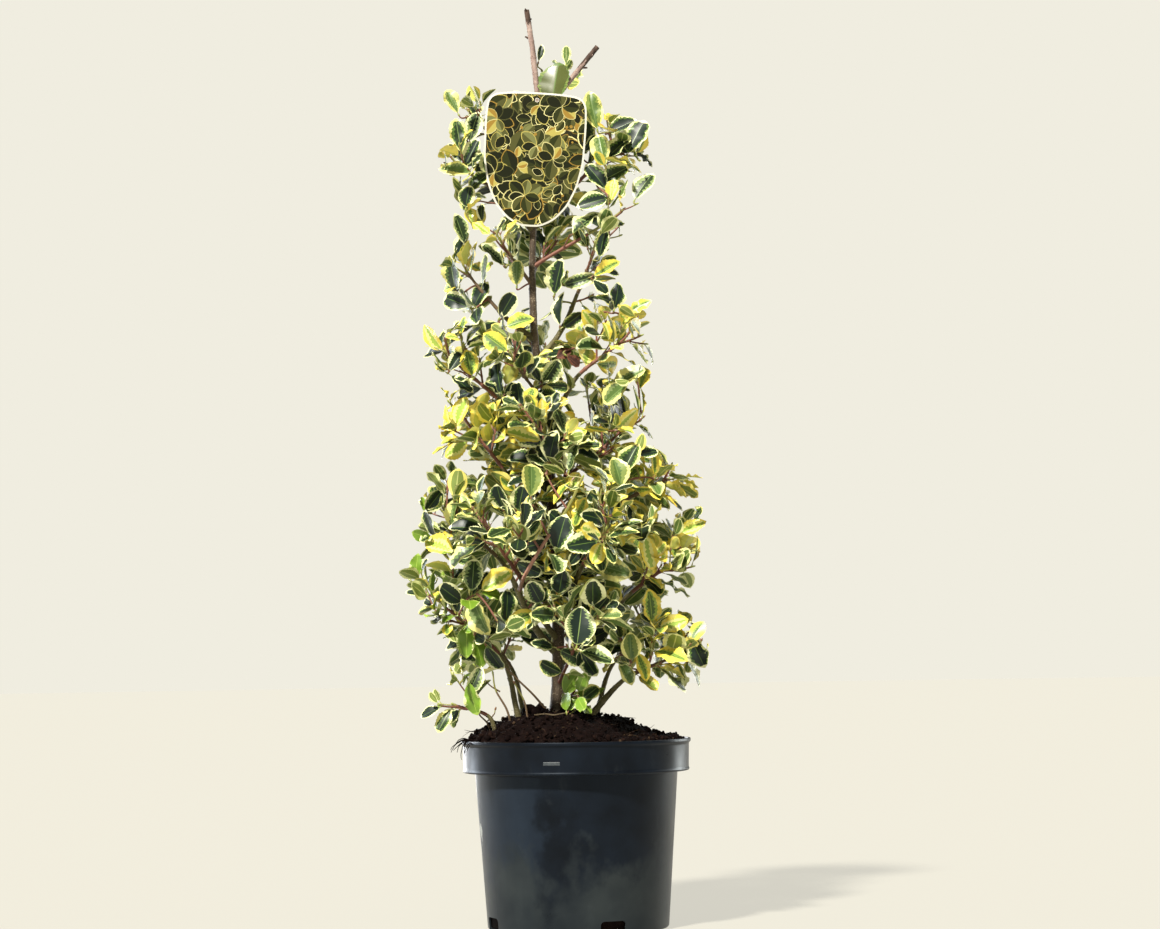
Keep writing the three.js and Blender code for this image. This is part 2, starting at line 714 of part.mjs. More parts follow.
function spraySolid(row, index) {
  const stem = stems[index];
  const twigs = planTwigs(row, index);
  const fused = Manifold.union([
    solidOf(bentCylinder(stem.curve, stem.radiusAt, TWIG.sides, stem.steps, stem.heading)),
    ...twigs.map((twig) => solidOf(bentCylinder(twig.curve, twig.radiusAt, TWIG.sides, twig.steps))),
    ...planLeaves(row, index, twigs).map(leafSolid),
  ]);
  return largestBody(row.tip ? fused : fused.subtract(trunk.grown));
}

// Label, a card fused with its ring
function labelSolid() {
  const corner = ([across, down], hand) =>
    new THREE.Vector2(hand * across * LABEL.halfWidth, LABEL.aboveHook - down * LABEL.height);
  const right = LABEL.edge.map((point) => corner(point, 1));
  const left = LABEL.edge.slice(1).map((point) => corner(point, -1));
  const card = new THREE.ExtrudeGeometry(new THREE.Shape([...right, ...left.reverse()]), {
    depth: LABEL.thick,
    bevelEnabled: false,
  });
  card.rotateX(Math.PI / 2).rotateY(THREE.MathUtils.degToRad(LABEL.tilt));
  card.translate(hook.at.x, hook.at.y - LABEL.front + LABEL.thick / 2, LABEL.hook);
  const ring = new THREE.TorusGeometry(ringRadius, LABEL.ring, 4, 14).translate(...ringMiddle.toArray());
  return largestBody(solidOf(card).add(solidOf(ring)));
}

// Assembly
const material = (color, roughness) => new THREE.MeshStandardMaterial({ color, roughness, metalness: 0 });
const bark = material(COLOURS.bark, 0.8);
const youngBark = material(COLOURS.youngBark, 0.7);
const foliage = material(COLOURS.leaf, 0.45);

const plant = new THREE.Group();
plant.add(meshOf("pot", potSolid(), material(COLOURS.pot, 0.45)));
const rooted = [trunk, ...boughs.filter((bough) => bough.row.soil)];
plant.add(meshOf("soil", soilSolid(rooted), material(COLOURS.soil, 0.95)));
plant.add(meshOf("trunk", trunk.solid, bark));
plant.add(meshOf("spur", spur.solid, bark));
for (const bough of boughs) plant.add(meshOf(`bough_${bough.row.name}`, bough.solid, youngBark));
SPRAYS.forEach((row, index) => plant.add(meshOf(`spray_${row.name}`, spraySolid(row, index), foliage)));
plant.add(meshOf("label", labelSolid(), material(COLOURS.label, 0.4)));

export default plant;
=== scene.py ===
"""A young variegated holly in its nursery pot: bark, twigs, leaves, compost, pot and label.

Millimetres until a mesh is made; +Z up, the face of the plant towards -Y.
"""

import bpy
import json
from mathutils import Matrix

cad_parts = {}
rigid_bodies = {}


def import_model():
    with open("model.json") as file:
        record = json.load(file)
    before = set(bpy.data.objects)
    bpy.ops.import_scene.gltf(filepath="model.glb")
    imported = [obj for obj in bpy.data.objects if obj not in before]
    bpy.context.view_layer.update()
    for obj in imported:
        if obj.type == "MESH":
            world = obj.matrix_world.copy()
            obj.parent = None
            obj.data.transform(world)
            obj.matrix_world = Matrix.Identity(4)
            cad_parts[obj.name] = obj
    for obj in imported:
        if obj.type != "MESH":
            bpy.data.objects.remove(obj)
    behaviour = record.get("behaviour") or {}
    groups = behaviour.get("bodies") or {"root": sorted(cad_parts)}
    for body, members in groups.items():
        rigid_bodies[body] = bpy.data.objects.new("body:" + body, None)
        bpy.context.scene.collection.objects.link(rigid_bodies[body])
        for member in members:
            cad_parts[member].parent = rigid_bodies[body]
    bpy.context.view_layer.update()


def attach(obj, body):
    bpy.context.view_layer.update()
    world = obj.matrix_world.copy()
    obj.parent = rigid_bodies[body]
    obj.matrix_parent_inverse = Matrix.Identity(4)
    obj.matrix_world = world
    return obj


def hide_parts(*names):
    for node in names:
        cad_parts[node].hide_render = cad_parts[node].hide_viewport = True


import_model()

import json
import math

import bmesh
import bpy
import numpy as np
from mathutils import Euler, Matrix, Vector, noise

MM = 0.001
MASK = 0xFFFFFFFF
UP = np.array([0.0, 0.0, 1.0])
GOLDEN_TURN = math.radians(137.5)
# seeds of the draws that aren't the solids' own
SEEDS = dict(pale=61, singles=5150, inner=2024, twigs=77, leader=11, spur=21, boughs=100)
SEEDS.update(crumbs=404, fibres=909, print=31)

# The same driving sizes as the solids
GAP = 0.35
POT = dict(height=230, foot=111.5, neck=125, neck_height=190, collar=139, lip=142, wall=2.6, floor=3.4)
SLOTS = dict(count=4, width=32, height=17, corner=4.5, first=22)
SOIL = dict(edge=228, mound=36, centre=(-22, 0), spread=98, power=2.8, lumps=1.6, verge=12)
SHOULDER = dict(at=(68, -6), height=6, spread=30)
TRUNK_AXIS = [
    [-23, 0, 238],
    [-20, 3, 374],
    [-25, 5, 505],
    [-31, 3, 650],
    [-43, 0, 715],
    [-46, -2, 780],
    [-45, 0, 855],
    [-36, 2, 1000],
    [-41, 1, 1086],
    [-49, -3, 1149],
]
TRUNK = dict(foot=8.8, tip=2.7, taper=0.62, flare=3.8, flare_height=14)
BOUGH = dict(radius=3.7, tip=2.5, rise=0.75, soil_rise=2.2, sunk=22, spring=0.4, settle=0.3, carry=0.3)
SPUR = dict(leaves=1004, bend=(-19, 2, 1031), tip=(40, 0, 1101), radius=2.9, end=2.5)
TWIG = dict(stem=2.6, side=1.5, end=1.2, spring=0.35, settle=0.3, upturn=0.5, lean=0.7, lift=0.4)
LEAF = dict(length=50, pad=0.7, lean=0.5, tip_lean=0.85, lift=0.18, stray=0.5)
LABEL = dict(height=170, half_width=64, above_hook=2, hook=1036, front=16.8, ring=0.8, tilt=4, room=7)

# name: where its bough stands in the compost or leaves the trunk, its bough's tip, its furthest
# point, the half-width of its space, its bough's radius and slope, how golden or lime its leaves
# are, their size, the share of them left out and their room above the compost
SPRAYS = {
    "low_left": dict(
        soil=(-63, -20),
        tip=(-93, -24, 336),
        far=(-196, -40, 436),
        width=68,
        radius=4.2,
        lime=0.3,
    ),
    "sucker": dict(
        soil=(-94, -42),
        tip=(-108, -50, 262),
        far=(-176, -60, 288),
        width=46,
        radius=2.6,
        lime=0.4,
        size=0.7,
        thin=0.4,
    ),
    "low_right": dict(
        soil=(-2, -20),
        rise=0.8,
        tip=(66, -34, 306),
        far=(154, -46, 350),
        width=64,
        radius=5.2,
        gold=0.26,
    ),
    "low_front": dict(leaves=296, far=(18, -138, 392), width=78, clear=74, size=1.06),
    "low_back_left": dict(soil=(-60, 34), tip=(-80, 60, 318), far=(-134, 128, 396), width=80),
    "low_back_right": dict(soil=(18, 30), rise=1.8, tip=(48, 56, 322), far=(110, 120, 396), width=80),
    "foot_shoot": dict(leaves=268, far=(12, -62, 306), width=44, lime=1.0),
    "left": dict(leaves=336, tip=(-94, -14, 456), far=(-186, -26, 538), width=68, radius=5.2, lime=0.15),
    "front_left": dict(leaves=352, tip=(-66, -52, 430), far=(-106, -138, 498), width=80),
    "front_right": dict(leaves=372, tip=(12, -50, 444), far=(54, -142, 510), width=80, gold=0.24),
    "right": dict(leaves=322, tip=(72, -8, 410), far=(158, -16, 478), width=66, radius=4.6, gold=0.42),
    "back_right": dict(leaves=362, tip=(32, 54, 442), far=(94, 134, 512), width=80),
    "back_left": dict(leaves=384, tip=(-76, 52, 450), far=(-118, 138, 520), width=80),
    "mid_left": dict(leaves=470, tip=(-86, -14, 566), far=(-150, -26, 656), width=62, gold=0.8),
    "mid_front": dict(leaves=536, far=(-34, -116, 630), width=74, gold=0.24),
    "mid_right": dict(leaves=440, tip=(60, 0, 522), far=(152, -2, 572), width=62, gold=0.7),
    "mid_right_up": dict(leaves=540, far=(90, -16, 640), width=60, gold=0.24),
    "mid_back_left": dict(leaves=515, tip=(-70, 40, 572), far=(-108, 114, 648), width=72),
    "mid_back_right": dict(leaves=525, tip=(4, 38, 580), far=(38, 116, 654), width=72),
    "upper_left": dict(leaves=590, tip=(-92, -12, 654), far=(-180, -18, 740), width=54, gold=0.3),
    "upper_front": dict(leaves=645, far=(-86, -70, 724), width=58, thin=0.2),
    "upper_right": dict(leaves=628, tip=(12, -8, 684), far=(94, -22, 750), width=62, gold=0.5),
    "upper_back": dict(leaves=655, far=(-34, 92, 746), width=70, thin=0.3),
    "high_left": dict(leaves=728, tip=(-90, -8, 766), far=(-148, -16, 844), width=54, gold=0.22, size=1.12),
    "high_left_up": dict(leaves=796, far=(-108, -24, 890), width=50, gold=0.3, size=1.12),
    "high_right": dict(leaves=705, tip=(10, 2, 786), far=(48, -8, 886), width=54, size=1.1, thin=0.15),
    "high_back": dict(leaves=806, far=(-30, 82, 886), width=62, thin=0.3),
    "crown_left": dict(leaves=868, tip=(-82, 0, 912), far=(-166, -4, 976), width=50, gold=0.3, size=1.05),
    "crown_left_up": dict(leaves=950, far=(-144, 12, 1040), width=46, gold=0.34),
    "crown_right": dict(leaves=872, tip=(8, 6, 924), far=(84, 2, 1004), width=58, gold=0.3, size=1.12),
    "crown_right_low": dict(leaves=820, far=(106, -16, 920), width=34, gold=0.34, size=1.1),
    "crown_back": dict(leaves=912, far=(-34, 80, 992), width=62),
    "crown_top": dict(leaves=1046, far=(-10, 36, 1090), width=46, size=0.8, thin=0.88),
}
ROWS = list(SPRAYS.values())
# how far the crown reaches at each height: z, left and right
CROWN = np.array(
    [
        (250, -205, 165), (279, -205, 170), (336, -160, 170), (373, -178, 160), (404, -208, 152),
        (423, -220, 152), (467, -204, 160), (504, -198, 163), (554, -192, 163), (579, -184, 118),
        (617, -164, 94), (654, -162, 94), (686, -166, 106), (729, -196, 106), (754, -136, 108),
        (792, -158, 48), (817, -164, 68), (854, -150, 62), (904, -142, 96), (923, -146, 114),
        (967, -170, 106), (1004, -128, 102), (1042, -156, 48), (1110, -60, 30),
    ],
    float,
)
# where the sky shows through the crown: x, z and half extents. A program measured these rows on the
# photograph, and seven of them have 1 mm more in x: they are no example of how to fill a table
OPENINGS = np.array(
    [
        (10, 826, 17, 17), (-51, 300, 20, 17), (10, 649, 14, 15), (-60, 281, 17, 17), (-6, 775, 12, 21),
        (-118, 796, 9, 22), (-104, 285, 13, 12), (-78, 795, 12, 21), (-98, 496, 12, 13),
        (-95, 763, 10, 10), (-80, 277, 10, 18), (-149, 284, 15, 10), (15, 944, 8, 16), (-58, 670, 10, 13),
        (47, 303, 15, 13), (-18, 742, 8, 12), (-35, 786, 6, 16), (77, 902, 8, 11),
    ],
    float,
)
# leaves that stand out: the blade's middle, the way it points in the picture in degrees, its
# length, width and kind
SINGLES = [
    (-15, -4, 1056, 86, 54, 44, "plain"), (-32, 5, 1096, 82, 22, 9, "dark"),
    (86, -10, 984, 62, 50, 32, "deep"), (64, -14, 970, 46, 46, 26, "deep"),
    (33, -4, 1020, 96, 50, 25, "olive"), (43, -18, 966, 104, 44, 26, "broad"),
    (24, 6, 990, 84, 44, 26, "green"), (70, 4, 1000, 30, 40, 24, "deep"),
    (94, -14, 921, 62, 44, 27, "sage"), (60, -8, 936, 20, 40, 24, "green"),
    (56, -18, 914, 80, 28, 17, "bright"), (36, -12, 934, 130, 40, 24, "deep"),
    (30, -16, 900, 200, 40, 26, "deep"), (-137, -10, 988, 98, 46, 23, "green"),
    (-118, 0, 1002, 70, 40, 24, "sage"), (-120, -6, 968, 60, 38, 22, "deep"),
    (-112, -8, 930, 40, 36, 22, "green"), (-145, -8, 1032, 122, 34, 20, "broad"),
    (-142, -14, 944, 168, 40, 20, "broad"), (-122, -16, 884, 100, 24, 18, "bright"),
    (-126, -22, 908, 84, 28, 22, "deep"), (-147, -12, 812, 102, 46, 33, "green"),
    (-134, -6, 850, 62, 40, 26, "dark"), (-143, -6, 778, 150, 40, 25, "deep"),
    (-112, -12, 786, 58, 36, 23, "deep"), (-78, -16, 771, 62, 36, 24, "dark"),
    (-136, -12, 868, 112, 42, 20, "sage"), (-96, -10, 836, 140, 38, 22, "sage"),
    (-66, -14, 812, 92, 32, 20, "broad"), (-62, -16, 750, 16, 36, 24, "golden"),
    (-14, -16, 806, 82, 46, 26, "deep"), (-12, -16, 766, 96, 42, 23, "dark"),
    (14, -12, 800, 8, 44, 19, "sage"), (42, -12, 848, 72, 36, 22, "deep"),
    (48, -10, 816, 24, 38, 17, "golden"), (60, -14, 781, 78, 36, 23, "deep"),
    (88, -12, 768, 30, 32, 16, "golden"), (-24, -40, 684, 60, 36, 26, "sage"),
    (-64, -50, 655, 100, 42, 22, "dark"), (-91, -30, 678, 110, 42, 28, "deep"),
    (-142, -24, 700, 60, 30, 20, "dark"), (-126, -26, 698, 95, 34, 24, "golden"),
    (56, -34, 656, 215, 42, 26, "broad"), (70, -40, 624, 40, 40, 26, "bright"),
    (72, -56, 575, 60, 40, 28, "green"), (96, -30, 582, 10, 30, 20, "deep"),
    (-138, -32, 637, 70, 38, 24, "bright"), (-171, -30, 526, 50, 34, 26, "deep"),
    (-178, -34, 497, 120, 36, 24, "deep"), (-166, -44, 470, 150, 44, 28, "bright"),
    (-24, -92, 586, 80, 40, 28, "dark"), (-14, -118, 480, 68, 44, 31, "deep"),
    (147, -18, 489, 30, 42, 18, "bright"), (92, -62, 458, -80, 48, 20, "bright"),
    (94, -66, 392, 95, 40, 26, "golden"), (121, -52, 370, 20, 36, 22, "bright"),
    (68, -70, 343, 90, 34, 26, "olive"), (-92, -90, 424, 30, 44, 28, "bright"),
    (-80, -92, 394, 78, 42, 30, "deep"), (-114, -76, 380, -70, 48, 30, "broad"),
    (-132, -50, 352, -95, 42, 24, "lime"), (-116, -54, 338, -70, 38, 25, "lime"),
    (-122, -58, 303, 55, 40, 19, "sage"), (-98, -60, 330, -60, 38, 24, "deep"),
    (-30, -60, 318, 150, 30, 20, "green"), (-2, -64, 332, -30, 34, 22, "green"),
    (16, -66, 322, -60, 36, 24, "deep"), (34, -62, 338, 205, 34, 22, "sage"),
    (62, -58, 312, -70, 34, 18, "broad"), (84, -54, 318, -60, 36, 20, "golden"),
    (20, -48, 288, 40, 26, 20, "green"), (-48, -98, 545, 82, 40, 29, "olive"),
    (-12, -88, 620, 94, 40, 26, "sage"), (2, -94, 573, 78, 36, 24, "sage"),
    (56, -72, 556, 100, 38, 28, "olive"), (4, -86, 542, 60, 26, 20, "bright"),
    (-146, -46, 508, 86, 40, 26, "broad"), (-88, -82, 526, 110, 32, 26, "deep"),
    (-62, -88, 524, 84, 32, 26, "deep"), (-15, -112, 421, 76, 32, 26, "deep"),
    (27, -112, 411, 60, 30, 26, "deep"), (-46, -108, 409, 112, 30, 26, "deep"),
    (7, -122, 368, 78, 47, 38, "fern"), (150, -44, 334, -74, 42, 29, "deep"),
    (-125, -62, 282, -84, 42, 21, "lime"), (-6, -44, 299, 50, 30, 24, "lime"),
    (-12, -46, 277, 100, 22, 19, "lime"), (-8, -22, 708, 200, 22, 15, "brown"),
    (4, -26, 698, 320, 20, 14, "brown"), (-172, -20, 730, 128, 40, 25, "bright"),
    (72, -28, 678, 34, 46, 26, "broad"),
]
# kinds of single leaves that nothing hides
FULL_VIEW = ("plain", "fern", "olive", "golden", "brown")
# a pale shoot that crosses the front of the crown
PALE_PATH = [(-66, -50, 414), (-58, -96, 430), (-34, -112, 468), (-6, -112, 508), (14, -104, 548)]
PALE_RADII = (2.7, 1.5)
# thin and dead twigs at the foot: their points, and their radii at both ends
BARE_TWIGS = [
    ([(-78, -30, 244), (-84, -36, 268), (-97, -42, 292), (-100, -46, 312)], 1.7, 0.9),
    ([(-92, -39, 290), (-106, -46, 300), (-122, -50, 322)], 1.1, 0.6),
    ([(-37, -16, 268), (-52, -24, 286), (-72, -34, 306), (-86, -40, 320), (-104, -46, 330)], 1.6, 0.9),
    ([(-104, -34, 240), (-108, -38, 252), (-117, -42, 262), (-121, -44, 272)], 1.3, 0.8),
    ([(-109, -38, 253), (-100, -40, 262), (-98, -40, 268)], 1.0, 0.7),
    ([(-58, -26, 250), (-62, -32, 276), (-74, -40, 300)], 1.5, 0.8),
]


# Numbers, directions and curves
def stream(seed):
    """A seeded stream of numbers from 0 to 1, the same as the one that placed the solids."""
    state = seed & MASK

    def draw():
        nonlocal state
        state = (state + 0x6D2B79F5) & MASK
        t = ((state ^ (state >> 15)) * (state | 1)) & MASK
        t ^= (t + (((t ^ (t >> 7)) * (t | 61)) & MASK)) & MASK
        return (t ^ (t >> 14)) / 4294967296

    return draw


def unit(v):
    return v / np.linalg.norm(v)


def stray(size, random):
    return np.array([random() - 0.5, random() - 0.5, random() - 0.5]) * size


def square_to(a, b):
    """The part of a that is square to the unit vector b, as a unit vector."""
    left = a - b * np.dot(a, b)
    if np.dot(left, left) < 1e-8:
        left = np.array([b[1], -b[0], 0.0])
    return unit(left)


class Curve:
    """What both kinds of curve share; their own at() gives points for shares of the way along."""

    def place(self, share):
        """The point at a share of the way and the direction there."""
        ends = self.at([max(0, share - 1e-3), share, min(1, share + 1e-3)])
        return ends[1], unit(ends[2] - ends[0])

    def length(self):
        return np.linalg.norm(np.diff(self.at(np.linspace(0, 1, 201)), axis=0), axis=1).sum()


class Bezier(Curve):
    def __init__(self, *corners):
        self.corners = np.array(corners, float)

    def at(self, shares):
        t = np.asarray(shares, float)[:, None]
        points = [np.repeat(corner[None], len(t), axis=0) for corner in self.corners]
        while len(points) > 1:
            points = [a * (1 - t) + b * t for a, b in zip(points, points[1:])]
        return points[0]


class Spline(Curve):
    def __init__(self, corners):
        inner = np.array(corners, float)
        self.corners = np.vstack([2 * inner[0] - inner[1], inner, 2 * inner[-1] - inner[-2]])

    def at(self, shares):
        spans = len(self.corners) - 3
        t = np.asarray(shares, float) * spans
        run = np.clip(np.floor(t).astype(int), 0, spans - 1)
        t = (t - run)[:, None]
        a, b, c, d = (self.corners[run + k] for k in range(4))
        leave, arrive = 0.5 * (c - a), 0.5 * (d - b)
        square = 3 * (c - b) - 2 * leave - arrive
        cube = 2 * (b - c) + leave + arrive
        return b + leave * t + square * t**2 + cube * t**3


class Limb:
    """A curve with a radius along it."""

    def __init__(self, curve, radius):
        self.curve, self.radius = curve, radius
        self.length = curve.length()

    def samples(self, step):
        shares = np.linspace(0, 1, max(2, math.ceil(self.length / step) + 1))
        return self.curve.at(shares), self.radius(shares)


def tapering(first, last):
    return lambda shares: first + (last - first) * np.asarray(shares, float)


# Compost, trunk, boughs and stems: where they run
def soil_top(x, y):
    """Height of the compost at places in the pot."""
    from_wall = (POT["collar"] - POT["wall"] - np.hypot(x, y)) / SOIL["verge"]
    inside = np.clip(from_wall, 0, 1)
    from_centre = np.hypot(x - SOIL["centre"][0], y - SOIL["centre"][1]) / SOIL["spread"]
    to_shoulder = np.hypot(x - SHOULDER["at"][0], y - SHOULDER["at"][1]) / SHOULDER["spread"]
    lumps = np.sin(x * 0.11 + 1.3) * np.cos(y * 0.13) + 0.7 * np.sin(x * 0.23 - y * 0.19)
    rise = SOIL["mound"] * np.exp(-(from_centre ** SOIL["power"]))
    rise = rise + SHOULDER["height"] * np.exp(-(to_shoulder**2))
    return SOIL["edge"] + inside * (rise + SOIL["lumps"] * lumps)


trunk_curve = Spline(TRUNK_AXIS)


def trunk_radius(shares):
    shares = np.asarray(shares, float)
    thin = TRUNK["foot"] + (TRUNK["tip"] - TRUNK["foot"]) * shares ** TRUNK["taper"]
    above = trunk_curve.at(np.atleast_1d(shares))[:, 2] - (TRUNK_AXIS[0][2] + BOUGH["sunk"])
    return thin + TRUNK["flare"] * np.exp(-np.maximum(0, above) / TRUNK["flare_height"])


trunk = Limb(trunk_curve, trunk_radius)


def trunk_at(height):
    """The trunk's axis and radius at a height."""
    low, high = 0.0, 1.0
    for _ in range(30):
        middle = (low + high) / 2
        if trunk_curve.at([middle])[0, 2] < height:
            low = middle
        else:
            high = middle
    return trunk_curve.at([low])[0], trunk_radius([low])[0]


def route_of(row):
    """Where a spray's wood starts, its bough's end, its furthest point and the way it goes on."""
    far = np.array(row["far"], float)
    if "tip" not in row:
        foot = trunk_at(row["leaves"])[0]
        return foot, foot, far, unit(far - foot)
    if "soil" in row:
        foot = np.array([*row["soil"], soil_top(*row["soil"]) - BOUGH["sunk"]])
    else:
        foot = trunk_at(row["leaves"])[0]
    start = np.array(row["tip"], float)
    return foot, start, far, unit(unit(far - start) + BOUGH["carry"] * unit(start - foot))


def bough_of(row):
    foot, start, _, heading = route_of(row)
    span = np.linalg.norm(start - foot)
    rise = row.get("rise", BOUGH["soil_rise" if "soil" in row else "rise"])
    leave = unit(unit((start - foot) * [1, 1, 0]) + UP * rise)
    away = foot + leave * span * BOUGH["spring"]
    towards = start - heading * span * BOUGH["settle"]
    radius = row.get("radius", BOUGH["radius"])
    return Limb(Bezier(foot, away, towards, start), tapering(radius, BOUGH["tip"]))


def stem_of(row):
    _, start, far, heading = route_of(row)
    begin = start + heading * GAP if "tip" in row else start
    reach = unit(far - begin)
    end = far - reach * LEAF["length"] / 2
    span = np.linalg.norm(end - begin)
    finish = unit(reach + UP * TWIG["upturn"])
    away = begin + heading * span * TWIG["spring"]
    towards = end - finish * span * TWIG["settle"]
    first = BOUGH["tip"] if "tip" in row else TWIG["stem"]
    return Limb(Bezier(begin, away, towards, end), tapering(first, TWIG["end"]))


boughs = {name: bough_of(row) for name, row in SPRAYS.items() if "tip" in row}
stems = [stem_of(row) for row in ROWS]
spur_foot = trunk_at(SPUR["leaves"])[0]
spur = Limb(Bezier(spur_foot, SPUR["bend"], SPUR["tip"]), tapering(SPUR["radius"], SPUR["end"]))
hook, hook_radius = trunk_at(LABEL["hook"])
ring_back = hook_radius + GAP + LABEL["ring"]
ring_radius = (ring_back + LABEL["front"]) / 2
ring_middle = hook + [0, ring_back - ring_radius, 0]
PALE_SHOOT = Limb(Spline(PALE_PATH), tapering(*PALE_RADII))


# The space that each spray keeps to, and what its leaves keep clear of
def gather_spaces():
    starts, axes, lengths, widths = [], [], [], []
    for row in ROWS:
        _, start, far, _ = route_of(row)
        starts.append(start)
        lengths.append(np.linalg.norm(far - start))
        axes.append(unit(far - start))
        widths.append(row["width"])
    return np.array(starts), np.array(axes), np.array(lengths), np.array(widths, float)


SPACES = gather_spaces()


def depths(points):
    """How far out each point lies in each spray's space: 0 at its middle and 1 at its rim."""
    starts, axes, lengths, widths = SPACES
    offsets = points[:, None] - starts[None]
    along = np.einsum("psk,sk->ps", offsets, axes)
    aside = np.sqrt(np.maximum(0, (offsets**2).sum(2) - along**2))
    half = lengths / 2 + LEAF["length"] * LEAF["pad"]
    return np.hypot((along - lengths / 2) / half, aside / widths)


def gather_obstacles(step):
    parts = [(limb.samples(step), -1) for limb in [trunk, spur, PALE_SHOOT, *boughs.values()]]
    parts += [(stem.samples(step), owner) for owner, stem in enumerate(stems)]
    points = np.vstack([samples[0] for samples, _ in parts])
    radii = np.concatenate([samples[1] for samples, _ in parts])
    owners = np.concatenate([np.full(len(samples[1]), owner) for samples, owner in parts])
    return points, radii, owners


OBSTACLES = gather_obstacles(4)


def gather_sights():
    """Places that stay in view from the front, with their radii: single leaves and stretches of limbs."""
    places = []
    for x, y, z, _, length, _, style in SINGLES:
        places.append((x, y, z, length * (0.42 if style in FULL_VIEW else 0.16)))
    for limb, first, last, radius in (
        (boughs["left"], 0.5, 1.0, 8),
        (boughs["low_right"], 0.45, 1.0, 7),
        (boughs["front_left"], 0.6, 0.85, 6),
        (trunk, 0.0, 0.1, 9),
        (trunk, 0.44, 0.66, 8),
        (PALE_SHOOT, 0.0, 0.8, 7),
    ):
        places += [(*at, radius) for at in limb.curve.at(np.linspace(first, last, 16))]
    return np.array(places, float)


SIGHTS = gather_sights()
# the plane in which the openings were measured, and how far from it the viewer stands
PICTURE_PLANE, VIEWER = -15, 3000


def covers_label(points):
    """Which points would hang in front of the label or touch it."""
    drop = LABEL["hook"] + LABEL["above_hook"] - points[:, 2]
    behind = points[:, 1] - (hook[1] - LABEL["front"])
    aside = np.abs(points[:, 0] - hook[0]) - LABEL["half_width"]
    room = LABEL["room"]
    return (behind < room) & (aside < room / 2) & (drop > -room) & (drop < LABEL["height"] - room)


def shuts(points):
    """Whether any point would close an opening or hang in front of one of the single leaves."""
    x, y, z = (points[:, k : k + 1] for k in range(3))
    depth = 1 + (y - PICTURE_PLANE) / VIEWER
    middle_x, middle_z, half_x, half_z = OPENINGS.T
    holes = ((x / depth - middle_x) / half_x) ** 2 + ((z - middle_z) / half_z) ** 2
    if (holes < 0.9).any():
        return True
    near = ((x - SIGHTS[:, 0]) ** 2 + (z - SIGHTS[:, 2]) ** 2) < SIGHTS[:, 3] ** 2
    return (near & (y < SIGHTS[:, 1] + 3)).any()


SOIL_ROOM = 4  # between foliage and compost, where a spray asks for no more


def is_free(points, index, limb_gap, spare):
    """Whether all points are in a spray's space, over the compost and clear of every limb.

    An index below 0 stands for foliage that may leave its spray's space.
    """
    clear = SOIL_ROOM if index < 0 else ROWS[index].get("clear", SOIL_ROOM)
    if (points[:, 2] < soil_top(points[:, 0], points[:, 1]) + clear).any() or covers_label(points).any():
        return False
    left, right = (np.interp(points[:, 2], CROWN[:, 0], CROWN[:, k]) for k in (1, 2))
    if (points[:, 0] < left).any() or (points[:, 0] > right).any() or shuts(points):
        return False
    depth = depths(points)
    own = depth[:, index].copy()
    depth[:, index] = np.inf
    if index >= 0 and ((own > 1.04).any() or (depth.min(axis=1) < own - spare).any()):
        return False
    places, radii, owners = OBSTACLES
    gaps = np.linalg.norm(places[None] - points[:, None], axis=2) - radii
    gaps[:, owners == index] = np.inf
    return gaps.min() > limb_gap


# Twigs
class Twig(Limb):
    """A twig: how far it is from the stem, and what stands on it."""

    parent = tint = None

    def __init__(self, curve, first, last, rank):
        super().__init__(curve, tapering(first, last))
        self.rank = rank
        self.nodes = []  # distances along it of leaves and of twigs that part from it

    def reach(self):
        """The share of it that is kept: up to a little past its last leaf or twig."""
        return min(1.0, (max(self.nodes, default=0) + 1.5) / self.length)


def sideways(along, angle):
    out = square_to(UP, along)
    return out * math.cos(angle) + np.cross(along, out) * math.sin(angle)


def first_that_fits(seed, tries, make, fits):
    for attempt in range(tries):
        found = make(stream(seed * 64 + attempt), attempt)
        if fits(found):
            return found
    return None


def side_twig(parent, share, angle, length, radii, rank):
    at, along = parent.curve.place(share)
    leave = unit(sideways(along, angle) + along * TWIG["lean"] + UP * TWIG["lift"])
    lift = unit(leave + UP * 0.3)
    middle = at + leave * length * 0.5
    return Twig(Bezier(at, middle, middle + lift * length * 0.5), *radii, rank)


TRIES = 8
SIDE_GAP = 33  # between the side twigs on a stem
SHOOT_GAPS = (20, 24)  # between the shoots on a stem and on a side twig


